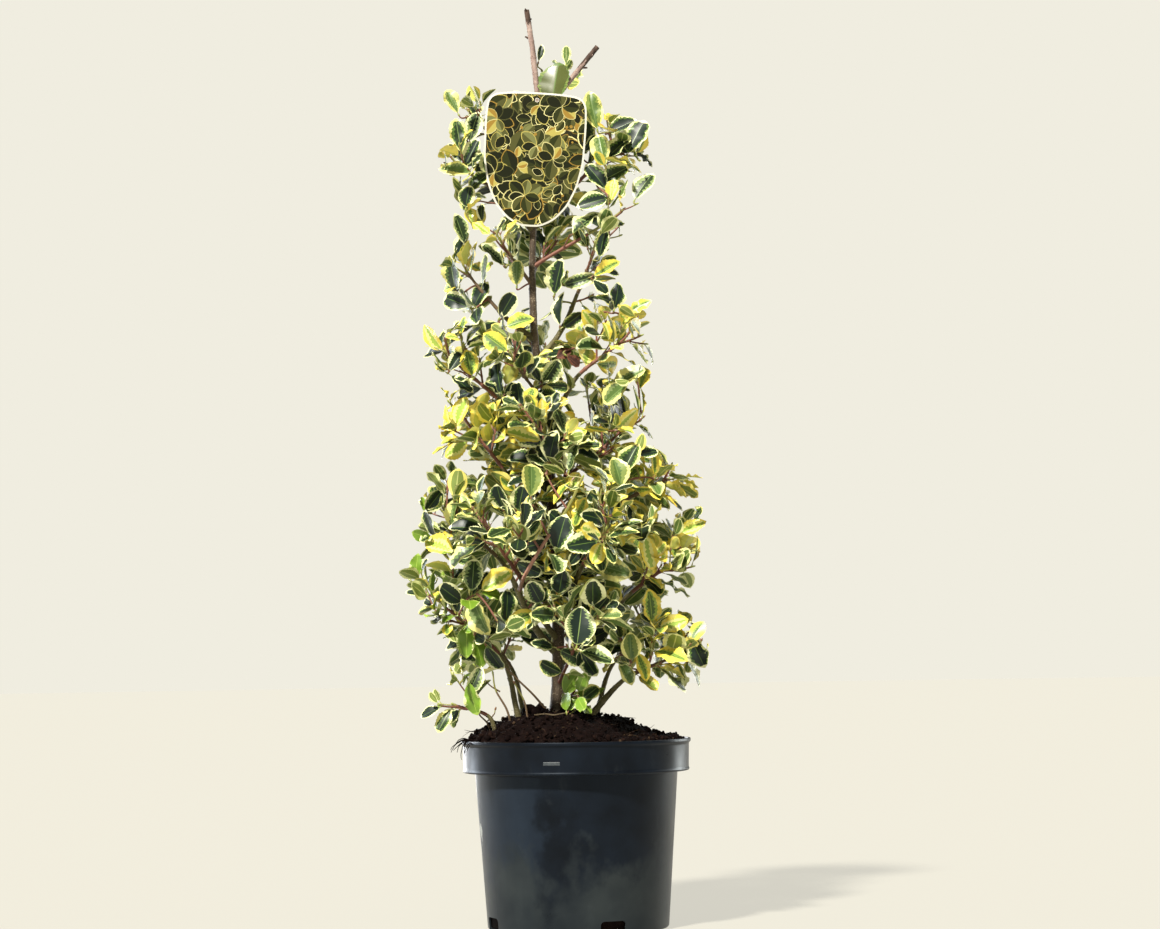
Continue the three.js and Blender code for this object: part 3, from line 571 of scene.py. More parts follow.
def grow_twigs(row, index):
    """The stem, its side twigs and the short shoots on them."""
    stem = Twig(stems[index].curve, stems[index].radius(0.0), TWIG["end"], 0)
    span = stem.length
    twigs = [stem]

    def fits(twig):
        return is_free(twig.curve.at([0.35, 0.6, 0.8, 1]), index, 2.2, 0.1)

    def add(parent, seed, share_of, length_of, turn, radii, rank):
        def make(random, attempt):
            share = share_of(random())
            length = length_of(random()) * (1 - 0.1 * attempt)
            return side_twig(parent, share, turn + random() * 2 + attempt * 1.1, length, radii, rank)

        twig = first_that_fits(seed, TRIES, make, fits)
        if twig:
            twig.parent = parent
            twigs.append(twig)

    count = max(2, round(span / SIDE_GAP))
    reach = row["width"] - LEAF["length"] / 3
    for i in range(count):
        add(
            stem,
            index * 1000 + i,
            lambda r, i=i: (i + 0.5 + 0.4 * r) / (count + 0.3),
            lambda r: max(15, reach * (0.8 + 0.4 * r)),
            GOLDEN_TURN * i,
            (TWIG["side"], TWIG["end"] * 0.85),
            1,
        )
    for t, parent in enumerate(list(twigs)):
        shoots = max(1, round(parent.length / SHOOT_GAPS[parent.rank]))
        for i in range(shoots):
            add(
                parent,
                index * 1000 + 500 + t * 20 + i,
                lambda r, i=i: 0.25 + 0.65 * (i + r) / shoots,
                lambda r: 14 + 20 * r,
                GOLDEN_TURN * (i + 3 * t) + 1,
                (1.05, 0.8),
                2,
            )
    return twigs


# Leaves: where they stand
# share of the way along the blade, and across it, of the points that are tested
PROBES = np.array(
    [
        (along, across * 2 * math.sqrt(along - along**2))
        for along in (0.2, 0.45, 0.7, 0.9)
        for across in (-0.5, 0, 0.5)
    ]
    + [(1, 0)]
)
GOLD = 0.16  # share of golden leaves where a spray names none
THIN = 0.06  # share of leaves left out where a spray names none
BLADE_ROOM = 2.0
# by a twig's rank: the gap between its leaves, their size and how many stand round its end
LEAF_RUNS = ((11, 0.98, 3), (9, 0.94, 4), (7.5, 0.88, 3))
FIRST_LEAF = (None, 0.3, 0.4)  # share of the way along a side twig or a shoot


def leaf_points(leaf, places):
    along, across = places[:, 0:1], places[:, 1:2]
    rise = leaf["cup"] * np.abs(across) * 2 - leaf["arch"] * along**2
    return (
        leaf["base"]
        + leaf["heading"] * (leaf["stalk"] + along * leaf["length"])
        + leaf["side"] * across * leaf["width"]
        + leaf["normal"] * rise * leaf["length"]
    )


def blade_middle(leaf):
    return leaf["base"] + leaf["heading"] * (leaf["stalk"] + leaf["length"] / 2)


class Blades:
    """The blades placed so far, for testing that a new one crosses none."""

    def __init__(self):
        self.leaves = []
        self.middles = np.zeros((0, 3))

    def add(self, leaf):
        self.leaves.append(leaf)
        self.middles = np.vstack([self.middles, blade_middle(leaf)])

    def near(self, point, reach):
        close = np.flatnonzero(np.linalg.norm(self.middles - point, axis=1) < reach)
        return [self.leaves[i] for i in close]


def on_blades(leaves, points, room):
    """Whether any of some points lies on any of some blades, or within some room of it."""

    def stack(field):
        return np.array([leaf[field] for leaf in leaves])

    def towards(field):
        return np.einsum("lpk,lk->lp", offsets, stack(field))

    offsets = points[None] - stack("base")[:, None]
    sizes = ("stalk", "length", "width", "cup", "arch")
    stalk, length, width, cup, arch = (stack(size)[:, None] for size in sizes)
    run = (towards("heading") - stalk) / length
    aside = np.abs(towards("side")) / width
    rise = (cup * aside * 2 - arch * run**2) * length
    above = np.abs(towards("normal") - rise)
    return ((run > 0.05) & (run < 1.02) & (aside < 0.5) & (above < room)).any()


def make_leaf(twig, share, size, angle, random):
    """A leaf leans out from its twig and turns its upper face to the light."""
    base, along = twig.curve.place(share)
    lean = LEAF["tip_lean"] if share > 0.9 else LEAF["lean"]
    heading = sideways(along, angle) + along * lean + UP * LEAF["lift"]
    heading = unit(heading + stray(LEAF["stray"], random))
    outward = unit((base - [SOIL["centre"][0], SOIL["centre"][1], 0]) * [1, 1, 0])
    face = along * 0.45 + UP * 0.45 + outward * 0.4 + stray(1.75, random)
    normal = square_to(face, heading)
    length = LEAF["length"] * size * (0.66 + 0.42 * random())
    return dict(
        base=base,
        heading=heading,
        normal=normal,
        side=np.cross(normal, heading),
        stalk=2.5 + 4.5 * size,
        length=length,
        width=length * (0.55 + 0.15 * random()),
        arch=0.02 + 0.24 * random() ** 1.5,
        cup=0.01 + 0.17 * random() ** 1.2,
        tip=share > 0.9,
        chance=random(),
        seed=int(random() * MASK),
    )


def leaf_places(twig, first, gap, size, rosette):
    """Distances of leaves along a twig, one by one and then a ring of smaller ones at its end."""
    places = [(along, size) for along in np.arange(first, twig.length - gap * 0.6, gap)]
    places += [(twig.length * 0.99 - i * 1.9, size * (0.62 + 0.09 * i)) for i in range(rosette)]
    return places


def grow_leaves(row, index, twigs, blades, free=False):
    """Leaves along twigs that keep to the mass's own space or, where free, to any room there is."""
    if not twigs:
        return []
    wood = [twig.samples(3) for twig in twigs]
    wood_points = np.vstack([samples[0] for samples in wood])
    leaves = []
    serial = 900 if free else 0
    for twig in twigs:
        if twig.rank:
            first = twig.length * FIRST_LEAF[twig.rank]
        else:
            first = 8 if "tip" in row else 20
        for along, size in leaf_places(twig, first, *LEAF_RUNS[twig.rank]):
            serial += 1
            if stream(index * 777 + serial)() < row.get("thin", THIN):
                continue
            size *= row.get("size", 1)

            def make(random, attempt, serial=serial, twig=twig, along=along, size=size):
                angle = GOLDEN_TURN * serial + random() + attempt * 1.05
                return make_leaf(twig, along / twig.length, size, angle, random)

            def fits(leaf):
                points = leaf_points(leaf, PROBES)
                if not is_free(points, -1 if free else index, 1.6, 0.2):
                    return False
                if on_blades([leaf], wood_points, 2.2):
                    return False
                near = blades.near(blade_middle(leaf), LEAF["length"] * 1.1)
                if not near:
                    return True
                if on_blades(near, points, BLADE_ROOM):
                    return False
                others = np.vstack([leaf_points(other, PROBES) for other in near])
                return not on_blades([leaf], others, BLADE_ROOM)

            leaf = first_that_fits(index * 1000 + 5000 * 64 + serial, TRIES, make, fits)
            if leaf:
                leaf["golden"], leaf["lime"] = row.get("gold", GOLD), row.get("lime", 0)
                leaves.append(leaf)
                blades.add(leaf)
                twig.nodes.append(along)
    return leaves


# Meshes
def add_object(name, data):
    made = bpy.data.objects.new(name, data)
    bpy.context.scene.collection.objects.link(made)
    return made


class Shell:
    """Points, faces and each face's material, gathered for one object."""

    def __init__(self):
        self.points, self.faces, self.slots, self.count = [], [], [], 0

    def add(self, points, faces, slots):
        """slots is one index for all the faces, or one for each."""
        points = np.asarray(points, float).reshape(-1, 3)
        self.points.append(points)
        self.faces += [[i + self.count for i in face] for face in faces]
        self.slots += [slots] * len(faces) if isinstance(slots, int) else list(slots)
        self.count += len(points)

    def build(self, name, materials, sharp=50):
        mesh = bpy.data.meshes.new(name)
        mesh.from_pydata((np.vstack(self.points) * MM).tolist(), [], self.faces)
        for material in materials:
            mesh.materials.append(material)
        mesh.polygons.foreach_set("material_index", self.slots)
        mesh.polygons.foreach_set("use_smooth", [True] * len(self.faces))
        mesh.update()
        mesh.set_sharp_from_angle(angle=math.radians(sharp))
        return add_object(name, mesh)


def ring_faces(rings, sides, closed=False):
    """Quads between rings of points; where closed, the last ring joins the first."""
    faces = []
    for i in range(rings if closed else rings - 1):
        here, there = i * sides, (i + 1) % rings * sides
        for j in range(sides):
            k = (j + 1) % sides
            faces.append((here + j, here + k, there + k, there + j))
    return faces


def tube(points, radii, sides, relief=None):
    """Points of rings round a path, and quads between them; the ends are closed."""
    points = np.asarray(points, float)
    ways = np.gradient(points, axis=0)
    ways /= np.linalg.norm(ways, axis=1)[:, None]
    side = np.array([0.31, 1.0, 0.17])
    angles = np.arange(sides) * 2 * math.pi / sides
    rings = []
    for i, (at, way) in enumerate(zip(points, ways)):
        side = square_to(side, way)
        across = np.cross(way, side)
        spokes = np.cos(angles)[:, None] * side + np.sin(angles)[:, None] * across
        radius = radii[i] * np.ones(sides)
        if relief:
            radius = radius + relief(at + spokes * radii[i], i)
        rings.append(at + spokes * radius[:, None])
    faces = ring_faces(len(rings), sides)
    last = (len(rings) - 1) * sides
    faces.append(tuple(reversed(range(sides))))
    faces.append(tuple(last + j for j in range(sides)))
    return np.vstack(rings), faces


# Colours: one plain material for each tint, and patterned ones for bark, pot and compost
def linear(colour):
    """Linear light from a colour as seen on a screen, each part from 0 to 255."""
    parts = [c / 255 for c in colour]
    return [c / 12.92 if c <= 0.04045 else ((c + 0.055) / 1.055) ** 2.4 for c in parts]


def principled(name, roughness, specular):
    material = bpy.data.materials.new(name)
    material.use_nodes = True
    shader = material.node_tree.nodes["Principled BSDF"]
    shader.inputs["Roughness"].default_value = roughness
    shader.inputs["Specular IOR Level"].default_value = specular
    return material, shader


def plain(name, colour, roughness, specular=0.5):
    material, shader = principled(name, roughness, specular)
    shader.inputs["Base Color"].default_value = (*linear(colour), 1)
    return material


class Nodes:
    """Short calls for building a patterned material."""

    def __init__(self, name, roughness, specular):
        self.material, self.shader = principled(name, roughness, specular)
        self.tree = self.material.node_tree
        self.place = self.tree.nodes.new("ShaderNodeTexCoord").outputs["Object"]

    def add(self, kind, inputs, data_type=None):
        """A node whose inputs are numbers or the outputs of other nodes."""
        node = self.tree.nodes.new(f"ShaderNode{kind}")
        if data_type:
            node.data_type = data_type
        for socket, value in inputs.items():
            if isinstance(value, bpy.types.NodeSocket):
                self.tree.links.new(value, node.inputs[socket])
            else:
                node.inputs[socket].default_value = value
        return node

    def noise(self, scale, detail=3.0, stretch=None, roughness=0.55):
        place = self.place
        if stretch:
            place = self.add("Mapping", {"Scale": stretch, "Vector": place}).outputs["Vector"]
        inputs = {"Scale": scale, "Detail": detail, "Roughness": roughness, "Vector": place}
        return self.add("TexNoise", inputs).outputs["Fac"]

    def axis(self, name):
        return self.add("SeparateXYZ", {"Vector": self.place}).outputs[name]

    def ramp(self, factor, *stops):
        """Each stop is a place from 0 to 1 and a colour or a number."""
        node = self.add("ValToRGB", {"Fac": factor})
        for i, (at, value) in enumerate(stops):
            element = node.color_ramp.elements[i] if i < 2 else node.color_ramp.elements.new(at)
            element.position = at
            element.color = (*linear(value), 1) if isinstance(value, tuple) else (value, value, value, 1)
        return node.outputs["Color"]

    def span(self, value, low, high):
        """0 at the low value and 1 at the high one."""
        return self.add("MapRange", {"Value": value, "From Min": low, "From Max": high}).outputs["Result"]

    def mix(self, factor, first, second):
        colours = [(*linear(c), 1) if isinstance(c, tuple) else c for c in (first, second)]
        return self.add("Mix", {0: factor, 6: colours[0], 7: colours[1]}, "RGBA").outputs[2]

    def bump(self, height, strength, distance):
        node = self.add("Bump", {"Strength": strength, "Distance": distance, "Height": height})
        self.tree.links.new(node.outputs["Normal"], self.shader.inputs["Normal"])

    def finish(self, colour, roughness=None):
        self.tree.links.new(colour, self.shader.inputs["Base Color"])
        if roughness:
            self.tree.links.new(roughness, self.shader.inputs["Roughness"])
        return self.material


def mottled(name, roughness, specular, pattern, *stops, bump=None):
    """A material with one noise, from its scale, detail and stretch, and a ramp over it."""
    nodes = Nodes(name, roughness, specular)
    if bump:
        bump_pattern, strength, distance = bump
        nodes.bump(nodes.noise(*bump_pattern), strength, distance)
    return nodes.finish(nodes.ramp(nodes.noise(*pattern), *stops))


# colour, roughness and shine of each tint of a leaf
TINTS = {
    "core_blue": ((22, 39, 31), 0.42, 0.42),
    "core_green": ((33, 52, 25), 0.42, 0.42),
    "mid_green": ((84, 110, 52), 0.38, 0.45),
    "mid_sage": ((128, 146, 92), 0.4, 0.45),
    "rib": ((118, 140, 80), 0.4),
    "cream": ((240, 240, 186), 0.36),
    "yellow": ((236, 230, 142), 0.36),
    "gold": ((240, 218, 88), 0.38),
    "amber": ((230, 194, 62), 0.4),
    "lime": ((112, 146, 42), 0.34),
    "lime_pale": ((156, 182, 78), 0.36),
    # the underside tints are the blade's own paler back; the golden and pale ones are lightened further as
    # painted glow of light shining through the blade
    "under_green": ((94, 118, 58), 0.5, 0.35),
    "under_olive": ((124, 140, 70), 0.5, 0.35),
    "under_edge": ((222, 226, 160), 0.5, 0.35),
    "under_gold": ((236, 222, 120), 0.5, 0.35),
    "under_rib": ((186, 192, 122), 0.5, 0.35),
    "under_lime": ((196, 198, 100), 0.5, 0.35),
    "stalk": ((156, 158, 84), 0.45),
    "stalk_red": ((136, 90, 66), 0.45),
    "olive": ((80, 88, 40), 0.38, 0.6),
    "withered": ((104, 66, 50), 0.7, 0.2),
    "withered_dark": ((66, 42, 36), 0.7, 0.2),
}
TINT_NAMES = list(TINTS)
LEAF_TINTS = [plain(f"leaf_{name}", *look) for name, look in TINTS.items()]


def kind(tints, core, middle, feather):
    """Tints of a kind of leaf, and how far across the half-blade its core and its middle reach.

    The tints are those of the core, the middle, the edge, the rib, the underside and its edge.
    """
    tints = [TINT_NAMES.index(name) for name in (*tints.split(), "under_rib")]
    return dict(tints=tints, core=core, mid=middle, feather=feather)


KINDS = {
    "dark": kind("core_blue core_green cream mid_green under_green under_edge", 0.5, 0.8, 0.06),
    "deep": kind("core_blue mid_green cream mid_green under_green under_edge", 0.6, 0.79, 0.07),
    "green": kind("core_green mid_green yellow rib under_green under_edge", 0.5, 0.75, 0.08),
    "sage": kind("core_green mid_sage cream rib under_olive under_edge", 0.42, 0.73, 0.09),
    "broad": kind("mid_green mid_sage yellow rib under_olive under_edge", 0.34, 0.6, 0.08),
    "golden": kind("mid_green lime_pale gold lime_pale under_olive under_gold", 0.22, 0.44, 0.1),
    "bright": kind("lime_pale yellow gold lime_pale under_lime under_gold", 0.24, 0.6, 0.08),
    "amber": kind("yellow gold amber yellow under_gold under_gold", 0.3, 0.7, 0.05),
    "lime": kind("lime lime lime_pale lime_pale under_olive under_edge", 0.5, 0.88, 0.04),
    "plain": kind("olive olive under_green under_green under_green under_olive", 0.4, 0.94, 0.02),
    "olive": kind("mid_green under_olive yellow rib under_olive yellow", 0.3, 0.76, 0.06),
    "fern": kind("core_blue mid_sage cream rib under_green under_edge", 0.66, 0.84, 0.12),
    "brown": kind("withered_dark withered withered withered withered withered_dark", 0.5, 0.8, 0.1),
}
# of the leaves that are neither lime nor golden, the share up to and with each kind
GREENS = (("dark", 0.34), ("deep", 0.56), ("green", 0.76), ("sage", 0.9), ("broad", math.inf))
STATIONS = 15  # spans along a blade
FINE = 27  # the same for a leaf with a herringbone pattern
# of a blade's outline, how high its teeth stand, and the share of leaves that have them
TOOTH, TOOTHED = 0.045, 0.4
THICK = 0.012  # a blade's thickness, as a share of its length
# half-widths of the blade's foot and of its rib, as shares of the half-blade
FOOT_WIDTH, RIB_WIDTH = 0.03, 0.035
UNDER_ACROSS = (-0.62, -0.05, 0.05, 0.62)  # where the underside's own points lie across the blade
# how far along a stalk its two rings stand, and their radii
STALK_RINGS = ((0.0, 1.1), (0.55, 0.75))
RED_STALKS = 0.35  # share of the leaves


def kind_of(leaf):
    chance = leaf["chance"]
    gold = min(0.9, leaf["golden"] * (1.7 if leaf["tip"] else 0.85))
    if chance < leaf["lime"]:
        return "lime"
    chance = (chance - leaf["lime"]) / (1 - leaf["lime"] + 1e-9)
    if chance < gold:
        return "amber" if chance < gold * 0.1 else "bright" if chance < gold * 0.5 else "golden"
    chance = (chance - gold) / (1 - gold)
    return next(name for name, share in GREENS if chance < share)


TOP, UNDER = 8, 4  # points across a blade at each station, above and below
# the tints of the strips between them: 0 core, 1 middle, 2 edge, 3 rib, 4 underside, 5 its edge, 6 its rib
TOP_TINTS = [2, 1, 0, 3, 0, 1, 2]
FOOT_TINTS = [2, 1, 1, 3, 1, 1, 2]
UNDER_TINTS = [5, 4, 6, 4, 5]


def blade_template(stations):
    """Faces of one leaf, and which tint each takes."""
    faces, tints = [], []
    inner = stations - 1
    base = inner * (TOP + UNDER)
    tip = base + 1

    def upper(i, j):
        return i * TOP + j

    def lower(i, j):
        """Across the underside: the left rim, points of its own and the right rim."""
        if j == 0:
            return upper(i, 0)
        return upper(i, TOP - 1) if j > UNDER else inner * TOP + i * UNDER + j - 1

    for i in range(inner - 1):
        for j in range(TOP - 1):
            faces.append((upper(i, j), upper(i + 1, j), upper(i + 1, j + 1), upper(i, j + 1)))
        for j in range(UNDER + 1):
            faces.append((lower(i, j + 1), lower(i + 1, j + 1), lower(i + 1, j), lower(i, j)))
        tints += TOP_TINTS + UNDER_TINTS
    for j in range(TOP - 1):
        faces.append((base, upper(0, j), upper(0, j + 1)))
        faces.append((tip, upper(inner - 1, j + 1), upper(inner - 1, j)))
        tints += [FOOT_TINTS[j], 2]
    for j in range(UNDER + 1):
        faces.append((base, lower(0, j + 1), lower(0, j)))
        faces.append((tip, lower(inner - 1, j), lower(inner - 1, j + 1)))
        tints += [UNDER_TINTS[j], 5]
    return faces, tints


TEMPLATES = {stations: blade_template(stations) for stations in (STATIONS, FINE)}


def add_leaf(shell, leaf):
    random = stream(leaf["seed"])
    style = KINDS[leaf.get("kind") or kind_of(leaf)]
    heading, side, normal = leaf["heading"], leaf["side"], leaf["normal"]
    start = leaf["base"] + heading * leaf["stalk"]
    length, half = leaf["length"], leaf["width"] / 2
    stations = FINE if leaf.get("kind") == "fern" else STATIONS
    s = np.linspace(0, 1, stations + 1)[1:-1]
    s = s + 0.035 * np.sin(2 * math.pi * s)
    blunt, narrow = 0.6 + 0.3 * random(), 0.64 + 0.3 * random()
    outline = s**narrow * (1 - s) ** blunt
    peak = narrow / (narrow + blunt)
    outline = outline / (peak**narrow * (1 - peak) ** blunt)
    zigzag = np.where(np.arange(len(s)) % 2 == 0, 1.0, -1.0)
    outline = outline * (1 + (TOOTH if random() < TOOTHED else 0.0) * zigzag)
    waves, phase = 1.2 + 1.8 * random(), random() * 6.28
    wave = (0.02 + 0.09 * random() ** 2) * np.sin(waves * 2 * math.pi * s + phase)
    twist = (random() - 0.5) * 0.5
    skew = (random() - 0.5) * 0.12

    def surface(along, across, drop=0.0):
        """along and across in shares; drop lowers a point under the blade, in millimetres."""
        share = across * np.interp(along, [0, *s, 1], [FOOT_WIDTH, *outline, 0])
        width = share * half
        lift = leaf["cup"] * np.abs(share) ** 1.35 * length - leaf["arch"] * along**2 * length
        lift = lift + np.interp(along, s, wave) * share * np.abs(share) * length
        lift = lift + np.sin(twist * along) * width
        bend = skew * along**2 * length
        return (
            start
            + heading * (along * length)[:, None]
            + side * (width + bend)[:, None]
            + normal * (lift - drop)[:, None]
        )

    rows = []
    for hand in (-1, 1):
        wild = style["feather"] * (zigzag + np.array([random() - 0.5 for _ in s]) * 1.4)
        shift = (random() - 0.5) * 0.26 + 0.14 * np.sin(s * (3 + 4 * random()) + 6.28 * random())
        mid = np.clip(style["mid"] + shift + wild * 0.6, 0.25, 0.94)
        core = np.clip(style["core"] + shift - wild * 1.3, 0.12, 0.9)
        core = np.minimum(core, mid - 0.07)
        strips = [(1.0, 0.0), (mid, 0.012), (core, 0.02), (RIB_WIDTH + 0 * s, 0.03)]
        for across, back in strips:
            along = s - back * 1.6 * np.sin(math.pi * s)
            rows.append(surface(along, hand * across * np.ones(len(s))))
    rows = rows[:4] + rows[:3:-1]
    thick = THICK * length
    for across in UNDER_ACROSS:
        rows.append(surface(s, across * np.ones(len(s)), thick * (1.2 - abs(across))))
    top = np.stack(rows[:TOP], axis=1).reshape(-1, 3)
    under = np.stack(rows[TOP:], axis=1).reshape(-1, 3)
    ends = surface(np.array([0.0, 1.0]), np.array([0.0, 0.0]), thick * np.array([0.4, 0.3]))
    faces, tints = TEMPLATES[stations]
    shell.add(np.vstack([top, under, ends]), faces, [style["tints"][t] for t in tints])
    add_stalk(shell, leaf, surface(np.array([0.1]), np.array([0.0]), thick * 0.6)[0], random)


def add_stalk(shell, leaf, end, random):
    """A short four-sided stalk from the twig into the blade's foot."""
    base, heading = leaf["base"], leaf["heading"]
    across, over = leaf["side"], leaf["normal"]
    points = []
    for share, radius in STALK_RINGS:
        at = base + heading * leaf["stalk"] * share
        points += [at + across * radius, at + over * radius, at - across * radius, at - over * radius]
    points.append(end)
    faces = ring_faces(2, 4) + [(4 + j, 4 + (j + 1) % 4, 8) for j in range(4)] + [(3, 2, 1, 0)]
    tint = "stalk_red" if random() < RED_STALKS else "stalk"
    shell.add(points, faces, TINT_NAMES.index(tint))


TWIG_TINTS = [
    plain("twig_brown", (112, 92, 70), 0.6, 0.3),
    plain("twig_red", (128, 84, 70), 0.55, 0.35),
    plain("twig_green", (138, 136, 74), 0.5, 0.35),
    plain("bud_green", (150, 160, 80), 0.45),
    plain("bud_scale", (120, 86, 58), 0.5),
    # the pale shoot's own pinkish tone, lightened further so it looks lit where the crown shades it: painted
    # light
    plain("twig_pale", (168, 122, 106), 0.5, 0.35),
]
BROWN, RED, GREEN, GREEN_BUD, SCALY_BUD, PALE = range(len(TWIG_TINTS))
# how far past a twig's end each ring of its bud stands, and the ring's radius
BUD = [(-0.4, 0.9), (0.8, 1.35), (2.4, 1.1), (4.0, 0.25)]
GREEN_BUDS = 0.6  # share of the twigs
# a twig's swelling at each node, as a share of its radius, and its reach in millimetres
NODE_SWELL, NODE_REACH = 0.28, 1.3
# the same at its foot, both in millimetres
COLLAR_SWELL, COLLAR_REACH = 0.5, 1.8


def keep_leafy(twigs):
    """The twigs that bear leaves or other twigs, last ones first."""
    kept = []
    for twig in reversed(twigs):
        if not twig.nodes:
            continue
        kept.append(twig)
        if twig.parent:
            gaps = np.linalg.norm(twig.parent.curve.at(np.linspace(0, 1, 101)) - twig.curve.at([0]), axis=1)
            twig.parent.nodes.append(twig.parent.length * gaps.argmin() / 100)
    return kept


def add_twig(shell, twig, random):
    count = max(4, math.ceil(twig.length * twig.reach() / 2))
    shares = np.linspace(0, twig.reach(), count + 1)
    radii = twig.radius(shares).copy()
    along = shares * twig.length
    for node in twig.nodes:
        radii += NODE_SWELL * radii * np.exp(-(((along - node) / NODE_REACH) ** 2))
    if twig.rank:
        radii += COLLAR_SWELL * np.exp(-((along / COLLAR_REACH) ** 2))
    points = twig.curve.at(shares)
    sides = 8 if twig.rank == 0 else 6
    rings, faces = tube(points, radii, sides)
    older = random()
    tint = twig.tint
    if tint is None:
        tint = (BROWN, RED, RED, GREEN)[min(3, int(older * 2 + twig.rank))]
    green_from = 0.55 + 0.5 * random()
    around = np.arange(len(faces)) // sides
    slots = np.where((around / count > green_from) & (around < count), GREEN, tint)
    shell.add(rings, faces, slots.tolist())
    tip, way = twig.curve.place(twig.reach())
    rings, faces = tube([tip + way * past for past, _ in BUD], [radius for _, radius in BUD], 6)
    shell.add(rings, faces, GREEN_BUD if random() < GREEN_BUDS else SCALY_BUD)


# The crown
# height where a run of short inner shoots starts and ends, their gap, their reach and the share
# of them on the side of the viewer
INNER_RUNS = [(350, 640, 9, 64, 0.6), (640, 690, 20, 48, 0.4), (880, 1000, 14, 50, 0.3)]
INNER_ROOM = 60  # least height over the compost of such a shoot on a bough
INNER_REACH = 40
PALE_SHOOTS, PALE_REACH = 6, 44
SQUARE_ABOVE = 850  # above it a single leaf faces the front squarely
LONE_ABOVE = 1020  # above it a single leaf's shoot bears no other leaves


def place_piece(piece, material_slot, *nodes):
    """Attaches a piece to the root body and hides the solids that it stands for, if any."""
    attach(piece, "root")
    if nodes:
        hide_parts(*nodes)


def grow_inner(parent, share, reach, random, angle=None):
    """A short leafy shoot from the trunk or a bough into the room between the masses."""
    at, along = parent.curve.place(share)
    for attempt in range(5):
        turn = random() * 2 * math.pi if angle is None else angle + (random() - 0.5) * 1.6
        out = np.array([math.cos(turn), math.sin(turn), 0.35 + 0.8 * random()])
        out = unit(square_to(unit(out), along) + along * 0.3 + UP * 0.25)
        length = reach * (0.55 + 0.6 * random()) * (1 - 0.08 * attempt)
        middle = at + out * length * 0.5
        lift = unit(out + UP * 0.35 + stray(0.5, random))
        twig = Twig(Bezier(at, middle, middle + lift * length * 0.5), TWIG["side"], TWIG["end"] * 0.8, 1)
        points = twig.curve.at([0.4, 0.6, 0.8, 1])
        if is_free(points, -1, 1.5, 0):
            return twig
    return None


def inner_gap(name, bough):
    """The gap between the inner shoots along a bough, the smallest in the crown's top."""
    if 330 < bough.curve.at([0.7])[0][2] < 650:
        return 28
    return 14 if name.startswith("crown") else 60


def inner_twigs():
    """Short shoots up the trunk and along the outer part of each bough, by the mass they stand in."""
    random = stream(SEEDS["inner"])
    shares = np.linspace(0, 1, 301)
    found = {index: [] for index in range(len(ROWS))}
    for low, high, gap, reach, facing in INNER_RUNS:
        height = low
        while height < high:
            share = np.interp(height, trunk_curve.at(shares)[:, 2], shares)
            angle = -math.pi / 2 + (random() - 0.5) * 2.2 if random() < facing else None
            twig = grow_inner(trunk, share, reach, random, angle)
            if twig:
                tip = twig.curve.at([1.0])
                found[int(np.argmin(depths(tip)[0]))].append(twig)
            height += gap * (0.6 + 0.8 * random())
    for name, bough in boughs.items():
        index = list(SPRAYS).index(name)
        for _ in range(max(1, round(bough.length / inner_gap(name, bough)))):
            share = 0.35 + 0.63 * random()
            at = bough.curve.at([share])[0]
            if at[2] < soil_top(at[0], at[1]) + INNER_ROOM:
                continue
            twig = grow_inner(bough, share, INNER_REACH, random)
            if twig:
                found[index].append(twig)
    return found


def single_leaf(x, y, z, turn, length, width, style, random):
    """A leaf of the table; one in full view, or high up, faces the front more squarely."""
    way = math.radians(turn + 16 * (random() - 0.5))
    spread = 0.35 if style in FULL_VIEW or z > SQUARE_ABOVE else 1.0
    heading = unit(np.array([math.cos(way), 1.1 * spread * (random() - 0.55), math.sin(way)]))
    face = np.array([2.4 * spread * (random() - 0.5), -1.0, 0.4 + 1.7 * spread * (random() - 0.5)])
    normal = square_to(face, heading)
    stalk = 4.0
    return dict(
        base=np.array([x, y, z]) - heading * (length / 2 + stalk),
        heading=heading,
        normal=normal,
        side=np.cross(normal, heading),
        stalk=stalk,
        length=length,
        width=width,
        arch=0.03 + 0.18 * random(),
        cup=0.04 + 0.16 * random(),
        tip=True,
        kind=style,
        seed=int(random() * MASK),
    )


def reaching_twig(leaf, crown):
    """A thin shoot from the nearest wood to a single leaf's foot, and the mass it belongs to."""
    end = leaf["base"]
    best = (math.inf, None, None, None)
    for name, (twigs, _) in crown.items():
        for limb in twigs + ([boughs[name]] if name in boughs else []):
            points, _ = limb.samples(4)
            gaps = np.linalg.norm(points - end, axis=1) + 0.4 * np.maximum(0, points[:, 2] - end[2])
            if gaps.min() < best[0]:
                best = (gaps.min(), name, points[gaps.argmin()], limb)
    _, name, start, limb = best
    span = np.linalg.norm(end - start)
    away = start + unit(end - start + UP * 0.3 * span) * span * 0.4
    twig = Twig(Bezier(start, away, end - leaf["heading"] * span * 0.35, end), 1.3, 0.9, 2)
    twig.nodes.append(twig.length)
    twig.parent = limb if isinstance(limb, Twig) else None
    return name, twig


blades = Blades()
crown = {name: (grow_twigs(row, index), []) for index, (name, row) in enumerate(SPRAYS.items())}
pale_twigs = [Twig(PALE_SHOOT.curve, *PALE_RADII, 1)]
pale_twigs[0].tint = PALE
random = stream(SEEDS["pale"])
for i in range(PALE_SHOOTS):
    shoot = grow_inner(pale_twigs[0], 0.45 + 0.1 * i, PALE_REACH, random)
    if shoot:
        shoot.parent = pale_twigs[0]
        pale_twigs.append(shoot)
crown["front_left"][0].extend(pale_twigs)
random = stream(SEEDS["singles"])
reaching = {name: [] for name in SPRAYS}
for single in SINGLES:
    leaf = single_leaf(*single, random)
    name, twig = reaching_twig(leaf, crown)
    if leaf["base"][2] < LONE_ABOVE:
        reaching[name].append(twig)
    crown[name][0].append(twig)
    crown[name][1].append(leaf)
    blades.add(leaf)
for index, (name, row) in enumerate(SPRAYS.items()):
    crown[name][1].extend(grow_leaves(row, index, list(crown[name][0]), blades))
    crown[name][1].extend(grow_leaves(row, index, reaching[name], blades, free=True))
